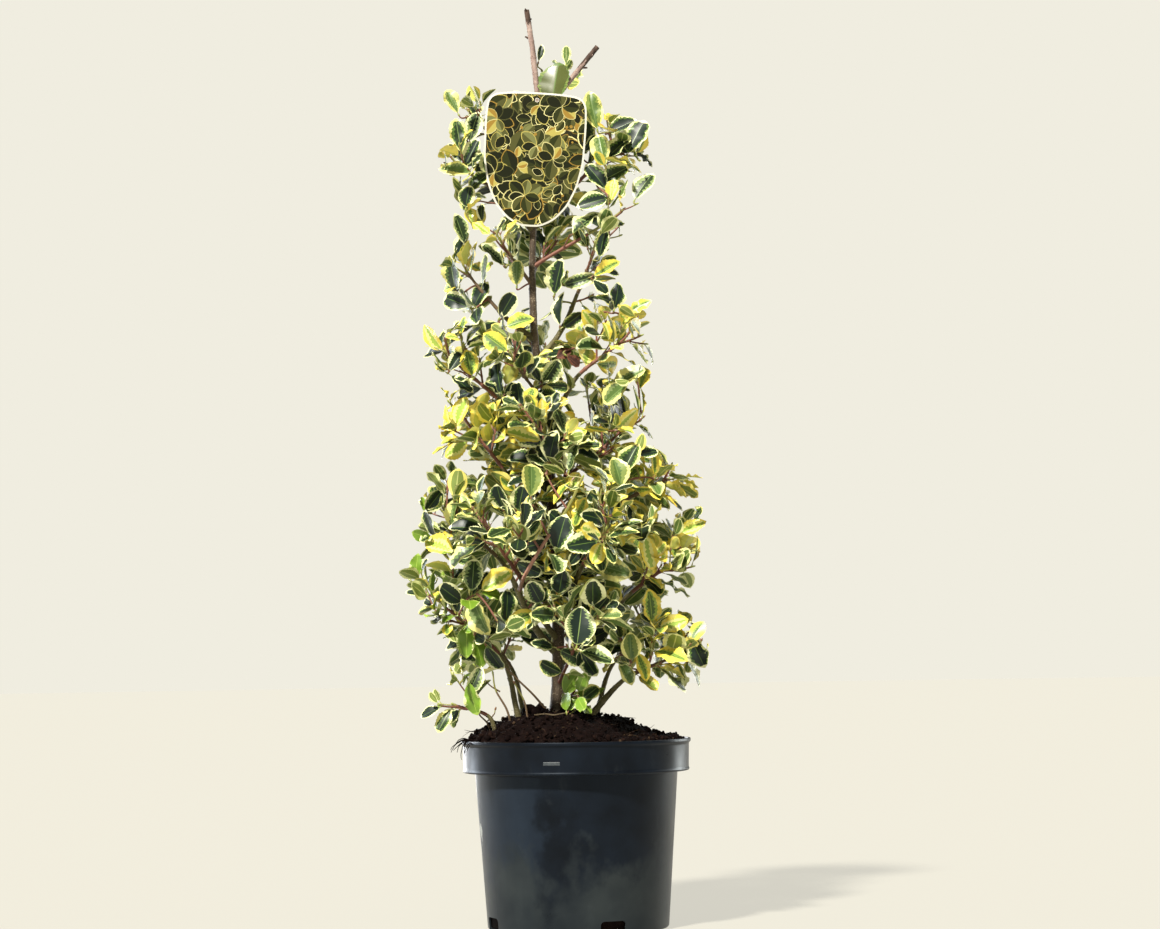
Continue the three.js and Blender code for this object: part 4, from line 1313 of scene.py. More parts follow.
for index, inner in inner_twigs().items():
    name = list(SPRAYS)[index]
    twigs, leaves = crown[name]
    leaves.extend(grow_leaves(SPRAYS[name], index, inner, blades, free=True))
    twigs.extend(inner)
for points, first, last in BARE_TWIGS:
    twig = Twig(Spline(points), first, last, 0)
    twig.tint = BROWN
    twig.nodes.append(twig.length * 0.98)
    crown["low_left"][0].append(twig)
for index, (name, (twigs, leaves)) in enumerate(crown.items()):
    foliage, wood = Shell(), Shell()
    for leaf in leaves:
        add_leaf(foliage, leaf)
    random = stream(index + SEEDS["twigs"])
    for twig in keep_leafy(twigs):
        add_twig(wood, twig, random)
    place_piece(foliage.build(f"leaves_{name}", LEAF_TINTS), "foliage", f"spray_{name}")
    place_piece(wood.build(f"twigs_{name}", TWIG_TINTS), "young_bark", f"spray_{name}")


# Bark
OLD, CUT, DARK = 0, 1, 2  # the slots of the leader's bark
SCAR_GAP = 24
# height at which the pruned tips begin to swell, and over how much of it they reach their full swell
SWELL_FROM, SWELL_RISE = 1044, 20
# short cut stubs: their limb, how far along it they stand, which way round they point and their length
STUBS = [(trunk, 0.93, 2.6, 9), (trunk, 0.972, 0.2, 7), (trunk, 0.995, 3.9, 6), (spur, 0.8, 3.4, 9)]
STUB_RADII = [1.9, 1.6, 1.3, 1.2, 0.9]


def rough(points, scale, seed):
    return np.array([noise.noise(Vector(p) * scale + Vector((seed, 0, 0))) for p in points])


def bark_relief(limb, step, scars, depth):
    """Relief in millimetres: faint ridges, pores, and a swelling at each old leaf scar."""
    along = np.linspace(0, 1, max(2, math.ceil(limb.length / step) + 1)) * limb.length

    def relief(points, i):
        away = [(along[i] - scar) / 1.6 for scar in scars if abs(along[i] - scar) < 6]
        swell = sum(math.exp(-(distance**2)) for distance in away)
        ridges = rough(points * [1, 1, 0.25], 0.22, 3) * depth
        pores = np.maximum(0, rough(points * [1, 1, 2.2], 0.9, 9) - 0.28) * depth * 1.6
        return ridges + pores + rough(points, 0.55, 5) * depth * 0.5 + swell * 0.35

    return relief


def bark_material(name, low, high):
    """Grey-brown and ridged at the foot, redder and smoother towards the tip, with pale pores."""
    nodes = Nodes(name, 0.62, 0.3)
    old = nodes.ramp(nodes.noise(90, 5, (1, 1, 0.3)), *zip((0.25, 0.5, 0.78), low))
    young = nodes.ramp(nodes.noise(110, 4, (1, 1, 0.5)), *zip((0.25, 0.5, 0.78), high))
    wood = nodes.mix(nodes.span(nodes.axis("Z"), 0.84, 1.06), old, young)
    pores = nodes.ramp(nodes.noise(420, 2, (1, 1, 3.2)), (0.62, 0.0), (0.7, 1.0))
    nodes.bump(nodes.noise(500, 4, (1, 1, 0.5)), 0.5, 0.0006)
    return nodes.finish(nodes.mix(pores, wood, (178, 162, 134)))


old_bark = bark_material(
    "bark_old",
    [(46, 38, 30), (78, 65, 52), (112, 98, 80)],
    [(112, 90, 84), (156, 132, 124), (190, 172, 162)],
)
young_bark = bark_material(
    "bark_young",
    [(62, 56, 36), (94, 88, 56), (126, 120, 82)],
    [(100, 78, 60), (132, 108, 84), (156, 138, 112)],
)
cut_wood = mottled("cut_wood", 0.8, 0.2, (700, 3), (0.3, (150, 122, 92)), (0.7, (196, 174, 138)))
dark_stops = [(0.3, (52, 41, 36)), (0.6, (92, 74, 65)), (0.8, (134, 112, 100))]
dark_bump = ((600, 4, (1, 1, 0.4)), 0.6, 0.0006)
dark_bark = mottled("bark_dark", 0.75, 0.2, (160, 4, (1, 1, 0.3)), *dark_stops, bump=dark_bump)


def scars_along(limb, seed):
    random = stream(seed)
    spots, at = [], SCAR_GAP
    while at < limb.length - 5:
        spots.append(at)
        at += SCAR_GAP * (0.7 + 0.6 * random())
    return spots


def add_limb(shell, limb, step, sides, depth, seed, collar=0.0, cut=False, dark_from=2.0, swell=0.0):
    """A limb with its bark's relief; its bark is dark past a share of its length, in uneven tongues."""
    scars = scars_along(limb, seed)
    points, radii = limb.samples(step)
    along = np.linspace(0, limb.length, len(radii))
    tip_swell = swell * np.clip((points[:, 2] - SWELL_FROM) / SWELL_RISE, 0, 1)
    radii = radii + collar * np.exp(-along / 9) + tip_swell
    rings, faces = tube(points, radii, sides, bark_relief(limb, step, scars, depth))
    random = stream(seed + 2)
    tongues = [dark_from * len(radii) + 9 * random() for _ in range(sides)]
    slots = [DARK if i // sides > tongues[i % sides] else OLD for i in range(len(faces))]
    if cut:
        slots[-1] = CUT
    shell.add(rings, faces, slots)
    random = stream(seed + 1)
    for scar in scars:
        at, way = limb.curve.place(scar / limb.length)
        out = sideways(way, random() * 6.28)
        radius = float(np.interp(scar, along, radii))
        knob = [(radius * 0.5, 1.0), (radius + 0.25, 1.2), (radius + 0.9, 0.8), (radius + 1.5, 0.2)]
        lean = unit(out + way * 0.8)
        base = at + out * radius * 0.4
        rings, faces = tube([base + lean * (d - radius * 0.4) for d, _ in knob], [r for _, r in knob], 6)
        shell.add(rings, faces, OLD)


main_wood = Shell()
add_limb(main_wood, trunk, 1.6, 26, 0.42, SEEDS["leader"], cut=True, dark_from=0.958, swell=0.5)
add_limb(
    main_wood, spur, 1.6, 14, 0.25, SEEDS["spur"], collar=1.0, cut=True, dark_from=0.74, swell=0.7
)
for limb, share, turn, length in STUBS:
    at, way = limb.curve.place(share)
    lean = unit(sideways(way, turn) + way * 0.8)
    rings, faces = tube([at + lean * length * k / 4 for k in range(5)], STUB_RADII, 7)
    main_wood.add(rings, faces, DARK)
place_piece(main_wood.build("trunk_bark", [old_bark, cut_wood, dark_bark]), "bark", "trunk", "spur")
side_wood = Shell()
for i, limb in enumerate(boughs.values()):
    add_limb(side_wood, limb, 1.8, 14, 0.26, SEEDS["boughs"] + i * 7, collar=1.3)
bough_nodes = [f"bough_{name}" for name in boughs]
place_piece(side_wood.build("bough_bark", [young_bark]), "young_bark", *bough_nodes)


# Pot
SEGMENTS = 144
BLACK = (0, 0, 0)


def rounded(corners, steps=4):
    """A profile with each corner rounded, from the corners' radius, height and rounding."""
    out = []
    for i, (_, _, rounding) in enumerate(corners):
        before, at, after = (np.array(corners[(i + k) % len(corners)][:2], float) for k in (-1, 0, 1))
        reach = min(rounding, np.linalg.norm(before - at) * 0.45, np.linalg.norm(after - at) * 0.45)
        first, last = at + unit(before - at) * reach, at + unit(after - at) * reach
        for t in np.linspace(0, 1, steps + 1):
            out.append(first * (1 - t) ** 2 + at * 2 * t * (1 - t) + last * t**2)
    return out


def pot_shell():
    """The pot's profile, from its underside over the lip to its floor, turned about Z."""
    h, neck, collar = POT["height"], POT["neck_height"], POT["collar"]
    wall, floor, foot = POT["wall"], POT["floor"], POT["foot"]
    profile = rounded(
        [
            (18, 0, 0.4),
            (20, 1.1, 0.4),
            (97, 1.1, 0.4),
            (99, 0, 0.4),
            (foot - 1.5, 0, 1.2),
            (foot, 2, 1.5),
            (POT["neck"], neck, 0.8),
            (collar, neck + 0.8, 0.9),
            (collar + 0.9, neck + 2.6, 0.8),
            (collar, neck + 5, 1.2),
            (collar + 0.7, h - 6, 1.5),
            (POT["lip"], h - 3.6, 1.0),
            (POT["lip"] - 0.3, h, 0.9),
            (collar - 0.4, h, 0.9),
            (collar - wall, neck + 4.2, 1.0),
            (POT["neck"] - wall, neck + 3.4, 1.0),
            (foot - wall + 0.4, floor, 1.5),
            (2, floor, 0.2),
            (2, 0, 0.2),
        ]
    )
    angles = np.arange(SEGMENTS) * 2 * math.pi / SEGMENTS
    shell = Shell()
    shell.add(
        [(radius * math.cos(a), radius * math.sin(a), z) for radius, z in profile for a in angles],
        ring_faces(len(profile), SEGMENTS, closed=True),
        0,
    )
    return shell


def pot_material():
    """Dark slate plastic with a satin shine and random patches of dust, with painted light: a painted
    reflection lightens the front of the body towards the left, a painted floor reflection greys it towards
    its foot, and painted glints fleck its left edge low down.
    """
    nodes = Nodes("pot_plastic", 0.4, 0.17)
    nodes.shader.inputs["Specular Tint"].default_value = (0.72, 0.84, 1.0, 1)
    x, y, z = (nodes.axis(name) for name in "XYZ")
    clean = nodes.ramp(nodes.noise(22, 3), (0.3, (10, 13, 18)), (0.7, (18, 24, 33)))
    dust_and_sheen = nodes.ramp(nodes.noise(16, 4, (1, 1, 0.5)), (0.3, (19, 25, 34)), (0.7, (31, 39, 50)))
    wander = nodes.span(nodes.noise(17, 4, (1, 1, 0.8), 0.6), 0.3, 0.7)
    # painted reflection: the front of the body turns lighter from the middle towards the left and fades out
    # towards the back; half of this, with random patches, brings in the lighter colour below the collar
    aside = nodes.mix(nodes.span(y, -0.02, 0.1), nodes.span(x, -0.005, -0.075), BLACK)
    edge = nodes.mix(0.5, aside, wander)
    below = nodes.mix(nodes.span(z, 0.186, 0.192), edge, BLACK)
    base = nodes.mix(nodes.ramp(below, (0.42, 0.0), (0.58, 1.0)), clean, dust_and_sheen)
    # painted reflection of the floor: the body turns greyer towards its foot, in random patches
    foot = nodes.mix(0.4, nodes.span(z, 0.14, 0.0), wander)
    floor_reflection = nodes.ramp(nodes.noise(12, 3), (0.35, (28, 33, 37)), (0.65, (47, 52, 53)))
    base = nodes.mix(nodes.ramp(foot, (0.4, 0.0), (0.58, 0.85)), base, floor_reflection)
    dust = nodes.ramp(nodes.noise(34, 6, (1, 1, 0.6), 0.7), (0.6, 0.0), (0.85, 0.3))
    base = nodes.mix(dust, base, (62, 67, 70))
    scuffs = nodes.ramp(nodes.noise(70, 2, (4, 4, 0.3)), (0.77, 0.0), (0.8, 0.4))
    base = nodes.mix(scuffs, base, (88, 92, 96))
    # painted glints: pale flecks on the left edge of the body as seen from the front, below about 140 mm,
    # where reflected light breaks up
    edge_glints = nodes.mix(nodes.span(x, -0.109, -0.116), BLACK, nodes.noise(60, 4, (1, 1, 0.4), 0.7))
    edge_glints = nodes.mix(nodes.span(z, 0.125, 0.15), edge_glints, BLACK)
    base = nodes.mix(nodes.ramp(edge_glints, (0.5, 0.0), (0.56, 0.8)), base, (176, 180, 178))
    shine = nodes.ramp(nodes.noise(18, 4), (0.3, 0.26), (0.75, 0.44))
    nodes.bump(nodes.noise(14, 2), 0.25, 0.002)
    return nodes.finish(base, shine)


def cut_slots(piece):
    """Cuts the drain slots through the wall and floor at the pot's foot."""
    mesh = bmesh.new()
    half, top, corner = SLOTS["width"] / 2, SLOTS["height"], SLOTS["corner"]
    turns = np.linspace(0, math.pi / 2, 5)
    arc = [(half - corner + corner * math.cos(a), top - corner + corner * math.sin(a)) for a in turns]
    outline = [(-half, -3), (half, -3), *arc, *[(-x, z) for x, z in reversed(arc)]]
    count = len(outline)
    for i in range(SLOTS["count"]):
        turn = Matrix.Rotation(math.radians(SLOTS["first"] + 90 * i), 3, "Z")
        depths_y = (-POT["foot"] - 14, -POT["foot"] + 12)
        near, far = ([mesh.verts.new(turn @ Vector((x, y, z)) * MM) for x, z in outline] for y in depths_y)
        mesh.faces.new(near)
        mesh.faces.new(reversed(far))
        for j in range(count):
            k = (j + 1) % count
            mesh.faces.new((near[k], near[j], far[j], far[k]))
    data = bpy.data.meshes.new("slot_cutter")
    mesh.to_mesh(data)
    cutter = add_object("slot_cutter", data)
    cut = piece.modifiers.new("slots", "BOOLEAN")
    cut.operation, cut.object, cut.solver = "DIFFERENCE", cutter, "EXACT"
    bpy.context.view_layer.update()
    done = bpy.data.meshes.new_from_object(piece.evaluated_get(bpy.context.evaluated_depsgraph_get()))
    piece.modifiers.clear()
    piece.data = done
    bpy.data.objects.remove(cutter)
    done.set_sharp_from_angle(angle=math.radians(40))


def raised_bar(angle, height, width, tall, radius, proud, columns=9):
    """A small bar that stands proud of the pot's wall and follows it, with bevelled rims."""
    points = []
    for inset, out in ((0.0, -0.4), (0.0, proud * 0.6), (0.6, proud)):
        reach = np.linspace(-1, 1, columns) * (width / 2 - inset)
        ring = [(x, inset - tall / 2) for x in reach] + [(x, tall / 2 - inset) for x in reversed(reach)]
        for x, z in ring:
            turn = angle + x / radius
            points.append(((radius + out) * math.sin(turn), -(radius + out) * math.cos(turn), height + z))
    count = 2 * columns
    top = 2 * count
    faces = ring_faces(3, count)
    faces += [(top + k, top + k + 1, top + count - 2 - k, top + count - 1 - k) for k in range(columns - 1)]
    shell = Shell()
    shell.add(points, faces, 0)
    return shell


pot = pot_shell().build("pot_body", [pot_material()], sharp=40)
cut_slots(pot)
place_piece(pot, "pot", "pot")
# the raised mark is tinted paler than the pot around it: a painted highlight of the light it catches
mark_tint = mottled("pot_mark", 0.45, 0.4, (300, 3), (0.3, (48, 54, 60)), (0.7, (72, 78, 82)))
mark = raised_bar(math.radians(-12), 205, 20, 4, POT["collar"] + 0.1, 0.5)
place_piece(mark.build("pot_mark", [mark_tint], sharp=5), "pot")


# Compost
SOIL_SEGMENTS, SOIL_RINGS = 300, 84
CRUMBS, RIM_CRUMBS, FIBRES, RIM_ROOTS = 1700, 90, 130, 10
DARK_CRUMB, RED_CRUMB, PALE_CRUMB = range(3)  # slots of the crumbs' tints
# share of dark crumbs all over and along the rim, of red ones among the others, and size of a fine mesh
DARK_SHARE, RIM_DARK_SHARE, RED_SHARE, FINE_FROM = 0.62, 0.7, 0.8, 2.4
# clods on the mound: x, y and size
CLODS = [(-55, -8, 8), (-48, -14, 6.5), (-61, 0, 6), (-44, -4, 7), (-38, -16, 5), (-12, -22, 6), (-8, -12, 7)]
# a thin stick's points, and its radii at them
STICK = [(-50, -50), (-38, -52), (-26, -51), (-13, -48)]
STICK_RADII = [0.8, 1.15, 1.1, 0.7]
RIM = POT["collar"] - POT["wall"]


def soil_relief(x, y):
    """Crumbs on the compost's top: lumps, clods and grit, in millimetres."""
    heights = np.zeros(len(x))
    for i, (px, py) in enumerate(zip(x, y)):
        at = Vector((px, py, 0))
        clod = noise.voronoi(at * 0.11)[0][0]
        crumb = noise.voronoi(at * 0.26 + Vector((9, 4, 1)))[0][0]
        grit = noise.noise(at * 0.7)
        heights[i] = 2.6 * noise.noise(at * 0.05) + 3.0 * (0.4 - clod) + 1.5 * (0.4 - crumb) + 0.8 * grit
    return heights


def compost_shell():
    """The compost's side up to the rim, and rings of its top that close in on the middle."""
    top = RIM - GAP
    segments = SOIL_SEGMENTS
    angles = np.arange(segments) * 2 * math.pi / segments
    wall = [
        (POT["foot"] - POT["wall"] - 0.2, POT["floor"] + GAP),
        (POT["neck"] - POT["wall"] - GAP, POT["neck_height"] + 3),
        (top - 0.6, POT["neck_height"] + 5.5),
        (top - 0.2, SOIL["edge"] - 3),
    ]
    radii = top * np.sqrt(np.linspace(1, 0, SOIL_RINGS) ** 1.25)[:-1]
    points = [(r * math.cos(a), r * math.sin(a), z) for r, z in wall for a in angles]
    x = np.concatenate([r * np.cos(angles) for r in radii])
    y = np.concatenate([r * np.sin(angles) for r in radii])
    from_wall = np.clip((top - np.hypot(x, y)) / 6, 0, 1)
    points += list(zip(x, y, soil_top(x, y) + soil_relief(x, y) * from_wall))
    centre = len(points)
    points.append((0, 0, float(soil_top(0.0, 0.0)) + 1))
    last = centre - segments
    faces = ring_faces(len(wall) + len(radii), segments)
    faces.append(tuple(reversed(range(segments))))
    faces += [(last + k, last + (k + 1) % segments, centre) for k in range(segments)]
    shell = Shell()
    shell.add(points, faces, 0)
    return shell


def soil_material(name, tints, scale):
    nodes = Nodes(name, 0.9, 0.05)
    base = nodes.ramp(nodes.noise(scale, 6, None, 0.7), *zip((0.28, 0.5, 0.75), tints))
    specks = nodes.ramp(nodes.noise(scale * 5, 2), (0.66, 0.0), (0.74, 0.8))
    nodes.bump(nodes.noise(scale * 6, 5, None, 0.7), 0.9, 0.0015)
    return nodes.finish(nodes.mix(specks, base, tints[3]))


peat = soil_material("peat", [(9, 5, 5), (18, 10, 9), (30, 18, 16), (48, 34, 28)], 120)
crumb_tints = [
    soil_material("crumb_dark", [(9, 5, 5), (18, 10, 9), (29, 18, 16), (42, 29, 25)], 260),
    soil_material("crumb_red", [(18, 11, 10), (30, 19, 16), (46, 31, 25), (66, 48, 38)], 260),
    soil_material("crumb_pale", [(46, 34, 27), (68, 53, 41), (94, 77, 60), (114, 98, 79)], 300),
]
stick_wood = soil_material("stick", [(88, 76, 60), (116, 102, 82), (140, 126, 104), (160, 146, 122)], 300)


def ball(subdivisions):
    """Points and faces of a ball with a radius of 1."""
    mesh = bmesh.new()
    bmesh.ops.create_icosphere(mesh, subdivisions=subdivisions, radius=1)
    points = np.array([v.co[:] for v in mesh.verts])
    faces = [[v.index for v in f.verts] for f in mesh.faces]
    mesh.free()
    return points, faces


COARSE_BALL, FINE_BALL = ball(1), ball(2)


def at_turn(radius, angle):
    """x and y at an angle round the middle."""
    return radius * math.cos(angle), radius * math.sin(angle)


def on_soil(x, y, above):
    """A point some millimetres above the compost."""
    return np.array([x, y, float(soil_top(x, y)) + above])


def add_crumb(shell, at, size, random, slot, fine=True):
    """A rough lump, wider than tall."""
    points, faces = FINE_BALL if fine else COARSE_BALL
    rough_by = 1 + 0.5 * rough(points, 1.7, random() * 90)
    turn = np.array(Euler((random() * 6.28, random() * 6.28, random() * 6.28)).to_matrix())
    stretch = np.array([1, 0.6 + 0.4 * random(), 0.5 + 0.4 * random()])
    shell.add(at + (points * rough_by[:, None] * stretch * size) @ turn.T, faces, slot)


def scatter_crumbs(shell):
    """Crumbs all over, the clods of the table, and more crumbs along the rim."""
    random = stream(SEEDS["crumbs"])
    limit = RIM - 3
    for _ in range(CRUMBS):
        x, y = at_turn(limit * math.sqrt(random()), random() * 2 * math.pi)
        size = 0.6 + 2.6 * random() ** 3
        slot = DARK_CRUMB if random() < DARK_SHARE else RED_CRUMB if random() < RED_SHARE else PALE_CRUMB
        add_crumb(shell, on_soil(x, y, size * 0.5 + random() * 1.2), size, random, slot, size > FINE_FROM)
    for x, y, size in CLODS:
        add_crumb(shell, on_soil(x, y, size * 0.45), size, random, DARK_CRUMB)
    for _ in range(RIM_CRUMBS):
        angle = random() * 2 * math.pi
        x, y = at_turn(limit - 2 - 9 * random(), angle)
        size = 1.5 + 3 * random()
        slot = DARK_CRUMB if random() < RIM_DARK_SHARE else RED_CRUMB
        add_crumb(shell, on_soil(x, y, size * 0.5), size, random, slot)


def add_fibre(shell, start, heading, length, radius, droop, random, slot):
    """A fine root or sliver, wandering a little."""
    points, at, way = [], np.array(start, float), unit(np.array(heading, float))
    steps = max(4, int(length / 3))
    for _ in range(steps + 1):
        points.append(at.copy())
        way = unit(way + stray(0.5, random) - UP * droop)
        at = at + way * length / steps
    rings, faces = tube(points, radius * np.linspace(1, 0.3, steps + 1), 5)
    shell.add(rings, faces, slot)


def scatter_fibres(shell):
    """Fine roots all over, a tuft of thicker ones over the rim on the left, and a thin stick."""
    random = stream(SEEDS["fibres"])
    for _ in range(FIBRES):
        radius, angle = 128 * math.sqrt(random()), random() * 2 * math.pi
        heading = (*at_turn(1, angle * 7), 0.35 * random())
        length, thick = 8 + 16 * random(), 0.25 + 0.35 * random()
        start = on_soil(*at_turn(radius, angle), 1)
        add_fibre(shell, start, heading, length, thick, 0.06, random, int(random() * 3))
    for _ in range(RIM_ROOTS):
        turn = math.radians(183 + 24 * random())
        start = (*at_turn(133, turn), 230 + 2 * random())
        add_fibre(shell, start, (*at_turn(1, turn), 0.6), 16 + 18 * random(), 1.05, 0.3, random, 0)
    rings, faces = tube([on_soil(x, y, 4) for x, y in STICK], STICK_RADII, 7)
    shell.add(rings, faces, len(crumb_tints))


place_piece(compost_shell().build("compost_body", [peat], sharp=180), "compost", "soil")
crumbs, fibres = Shell(), Shell()
scatter_crumbs(crumbs)
place_piece(crumbs.build("compost_crumbs", crumb_tints, sharp=60), "compost")
scatter_fibres(fibres)
place_piece(fibres.build("compost_fibres", [*crumb_tints, stick_wood], sharp=60), "compost")


# Label
# right half of the shield's edge, in shares of its half width and height
LABEL_EDGE = [
    (0, -0.012), (0.45, -0.008), (0.8, 0.005), (0.93, 0.03), (0.985, 0.08), (1, 0.22),
    (0.985, 0.5), (0.88, 0.69), (0.71, 0.835), (0.47, 0.94), (0.19, 0.995),
]
EDGE_POINTS = 120
RING_SPANS, RING_SIDES = 48, 8
HOLE_AT = np.array([0.0, -6.0])
HOLE, PRINT_HOLE = 2.2, 2.8  # radii of the hole in the card and of the gap round it in the print
BEVEL, BORDER = 0.5, 2.4  # widths of the card's bevelled edge and of its pale border
LEAFLETS, ROSETTES, PETALS, BERRIES = 420, 8, 7, 7
FIRST_LEVEL = 0.68  # how far in front of the card's middle the first leaflet lies
LEAFLET_STEP, PETAL_STEP = 0.0003, 0.0008  # how far each next one lies in front of it
PETAL_TURN = 0.9
# share of golden leaflets, and the height above which they lie
GOLDEN_SHARE, GOLDEN_ABOVE = 0.1, -105
LEAFLET_ROOM, BERRY_ROOM = 3.6, 5  # least distance from the hole's middle
# half of a leaflet's outline, in shares of its length
LEAFLET_RUN = [0, 0.12, 0.32, 0.55, 0.78, 0.93, 1]
LEAFLET_HALF = [0, 0.15, 0.27, 0.32, 0.25, 0.12, 0]
# colours of the print and their shine
PRINT = dict(
    yellow=((172, 160, 84), 0.2),
    gold=((146, 116, 48), 0.2),
    cream=((192, 184, 124), 0.2),
    green=((26, 29, 12), 0.15),
    olive=((76, 76, 38), 0.2),
    moss=((44, 48, 20), 0.15),
    sage=((112, 114, 68), 0.2),
    pale=((222, 214, 150), 0.2),
)
PRINT_SLOTS = {name: slot for slot, name in enumerate(PRINT, start=1)}
RIM_TINTS = "cream yellow cream pale yellow olive olive gold".split()
HALF_TINTS = [
    "green moss", "moss green", "green green", "green green",
    "moss green", "moss olive", "olive moss", "olive sage",
]


def label_outline(inset):
    """The shield's outline, closed and smooth, drawn in from its edge by some millimetres."""
    half = [(x * LABEL["half_width"], LABEL["above_hook"] - y * LABEL["height"]) for x, y in LABEL_EDGE]
    loop = half + [(-x, z) for x, z in reversed(half[1:])]
    loop = np.array(loop + loop[:1])
    lengths = np.concatenate([[0], np.cumsum(np.linalg.norm(np.diff(loop, axis=0), axis=1))])
    stops = np.linspace(0, lengths[-1], EDGE_POINTS, endpoint=False)
    ring = np.stack([np.interp(stops, lengths, loop[:, k]) for k in (0, 1)], axis=1)
    for _ in range(3):
        ring = (np.roll(ring, 1, axis=0) + 2 * ring + np.roll(ring, -1, axis=0)) / 4
    ways = np.roll(ring, -1, axis=0) - np.roll(ring, 1, axis=0)
    ways /= np.linalg.norm(ways, axis=1)[:, None]
    return ring + np.stack([-ways[:, 1], ways[:, 0]], axis=1) * -inset


def label_place(points, out):
    """From the card's own plane to the plant: tilted, hanging in front of the trunk."""
    turn = -math.radians(LABEL["tilt"])
    x = points[:, 0] * math.cos(turn) - points[:, 1] * math.sin(turn)
    z = points[:, 0] * math.sin(turn) + points[:, 1] * math.cos(turn)
    y = np.full(len(x), hook[1] - LABEL["front"]) - out
    return np.stack([hook[0] + x, y, LABEL["hook"] + z], axis=1)


def add_loops(shell, loops, closed):
    """Joins loops in the card's plane, each at its own height over it."""
    points = np.vstack([label_place(loop, out) for loop, out in loops])
    shell.add(points, ring_faces(len(loops), EDGE_POINTS, closed), 0)


def build_label():
    """The card with its hole and bevelled edge, and the print on its front within a pale border."""
    outer, bevel, border = (label_outline(inset) for inset in (0, BEVEL, BORDER))
    angles = math.pi / 2 - np.arange(EDGE_POINTS) * 2 * math.pi / EDGE_POINTS
    spokes = np.stack([np.cos(angles), np.sin(angles)], axis=1)
    hole, rim = HOLE_AT + spokes * HOLE, HOLE_AT + spokes * PRINT_HOLE
    card, printing = Shell(), Shell()
    front = [(hole, 0.6), (bevel, 0.6), (outer, 0.5)]
    add_loops(card, front + [(loop, -out) for loop, out in reversed(front)], closed=True)
    add_loops(printing, [(rim, 0.55), (rim, 0.66), (border, 0.66), (border, 0.55)], closed=False)
    draw_print(printing, border)
    return card, printing


def inside(point, loop):
    x, z = point
    hits = 0
    for (ax, az), (bx, bz) in zip(loop, np.roll(loop, -1, axis=0)):
        if (az > z) != (bz > z) and x < ax + (z - az) / (bz - az) * (bx - ax):
            hits += 1
    return hits % 2 == 1


def clip(shape, border):
    """A flat shape cut to the border, which bulges all the way round, or None where nothing is left."""
    inward = (np.roll(border, -1, axis=0) - border)[:, ::-1] * [1, -1]
    offsets = (border * inward).sum(axis=1)
    for edge in np.flatnonzero((shape @ inward.T - offsets).min(axis=0) < 0):
        side = shape @ inward[edge] - offsets[edge]
        if side.max() <= 0:
            return None
        kept = []
        for k in range(len(shape)):
            j = (k + 1) % len(shape)
            if side[k] >= 0:
                kept.append(shape[k])
            if (side[k] >= 0) != (side[j] >= 0):
                kept.append(shape[k] + (shape[j] - shape[k]) * side[k] / (side[k] - side[j]))
        shape = np.array(kept)
    return shape if len(shape) > 2 else None


def draw_print(shell, border):
    """A made-up pattern: leaflets of many greens that lie over each other, some gold, and berries."""
    random = stream(SEEDS["print"])
    level = FIRST_LEVEL
    for _ in range(LEAFLETS):
        level += LEAFLET_STEP
        foot = np.array([(random() - 0.5) * 136, 10 - random() * 176])
        turn = random() * 6.28
        add_leaflet(shell, foot, turn, 14 + 21 * random() ** 1.5, level, random, border)
    for _ in range(ROSETTES):
        foot = np.array([(random() - 0.5) * 100, -10 - random() * 120])
        heading = random() * 2 * math.pi
        for petal in range(PETALS):
            level += PETAL_STEP
            size = 16 + 11 * random()
            turn = heading + petal * PETAL_TURN + 0.3 * random()
            add_leaflet(shell, foot, turn, size, level, random, border)
    for _ in range(BERRIES):
        level += PETAL_STEP
        middle = np.array([(random() - 0.5) * 110, -4 - random() * 150])
        add_berry(shell, middle, 1.4 + 0.8 * random(), level, border)


def add_leaflet(shell, foot, turn, size, level, random, border):
    """A broad leaflet, cut at the border: a thin pale rim and two halves in two tones."""
    way = np.array([math.cos(turn), math.sin(turn)])
    across = np.array([-way[1], way[0]])
    shares = np.array(LEAFLET_RUN + LEAFLET_RUN[5:0:-1])
    widths = np.array(LEAFLET_HALF + [-width for width in LEAFLET_HALF[5:0:-1]])
    rim = foot + way * (shares * size)[:, None] + across * (widths * size)[:, None]
    middle = foot + way * size * 0.5
    core = middle + (rim - middle) * (0.86 + 0.07 * random())
    if random() < GOLDEN_SHARE and foot[1] > GOLDEN_ABOVE:
        rim_tint, halves = "cream", "yellow gold"
    else:
        rim_tint = RIM_TINTS[int(random() * 8)]
        halves = HALF_TINTS[int(random() * 8)]
    if np.linalg.norm(rim - HOLE_AT, axis=1).min() < LEAFLET_ROOM or inside(HOLE_AT, rim):
        return
    around = zip(rim, np.roll(rim, -1, axis=0), np.roll(core, -1, axis=0), core)
    shapes = [(corners, rim_tint) for corners in around]
    shapes += zip((core[:7], core[[6, 7, 8, 9, 10, 11, 0]]), halves.split())
    for shape, tint in shapes:
        shape = clip(np.array(shape), border)
        if shape is not None:
            shell.add(label_place(shape[::-1], level), [tuple(range(len(shape)))], PRINT_SLOTS[tint])


def add_berry(shell, middle, radius, level, border):
    turns = np.arange(10) * math.pi / 5
    rim = middle + radius * np.stack([np.cos(turns), np.sin(turns)], axis=1)
    clear_of_hole = np.linalg.norm(rim - HOLE_AT, axis=1).min() > BERRY_ROOM
    if clear_of_hole and all(inside(point, border) for point in rim):
        shell.add(label_place(rim, level + 0.05), [tuple(range(10))], PRINT_SLOTS["gold"])


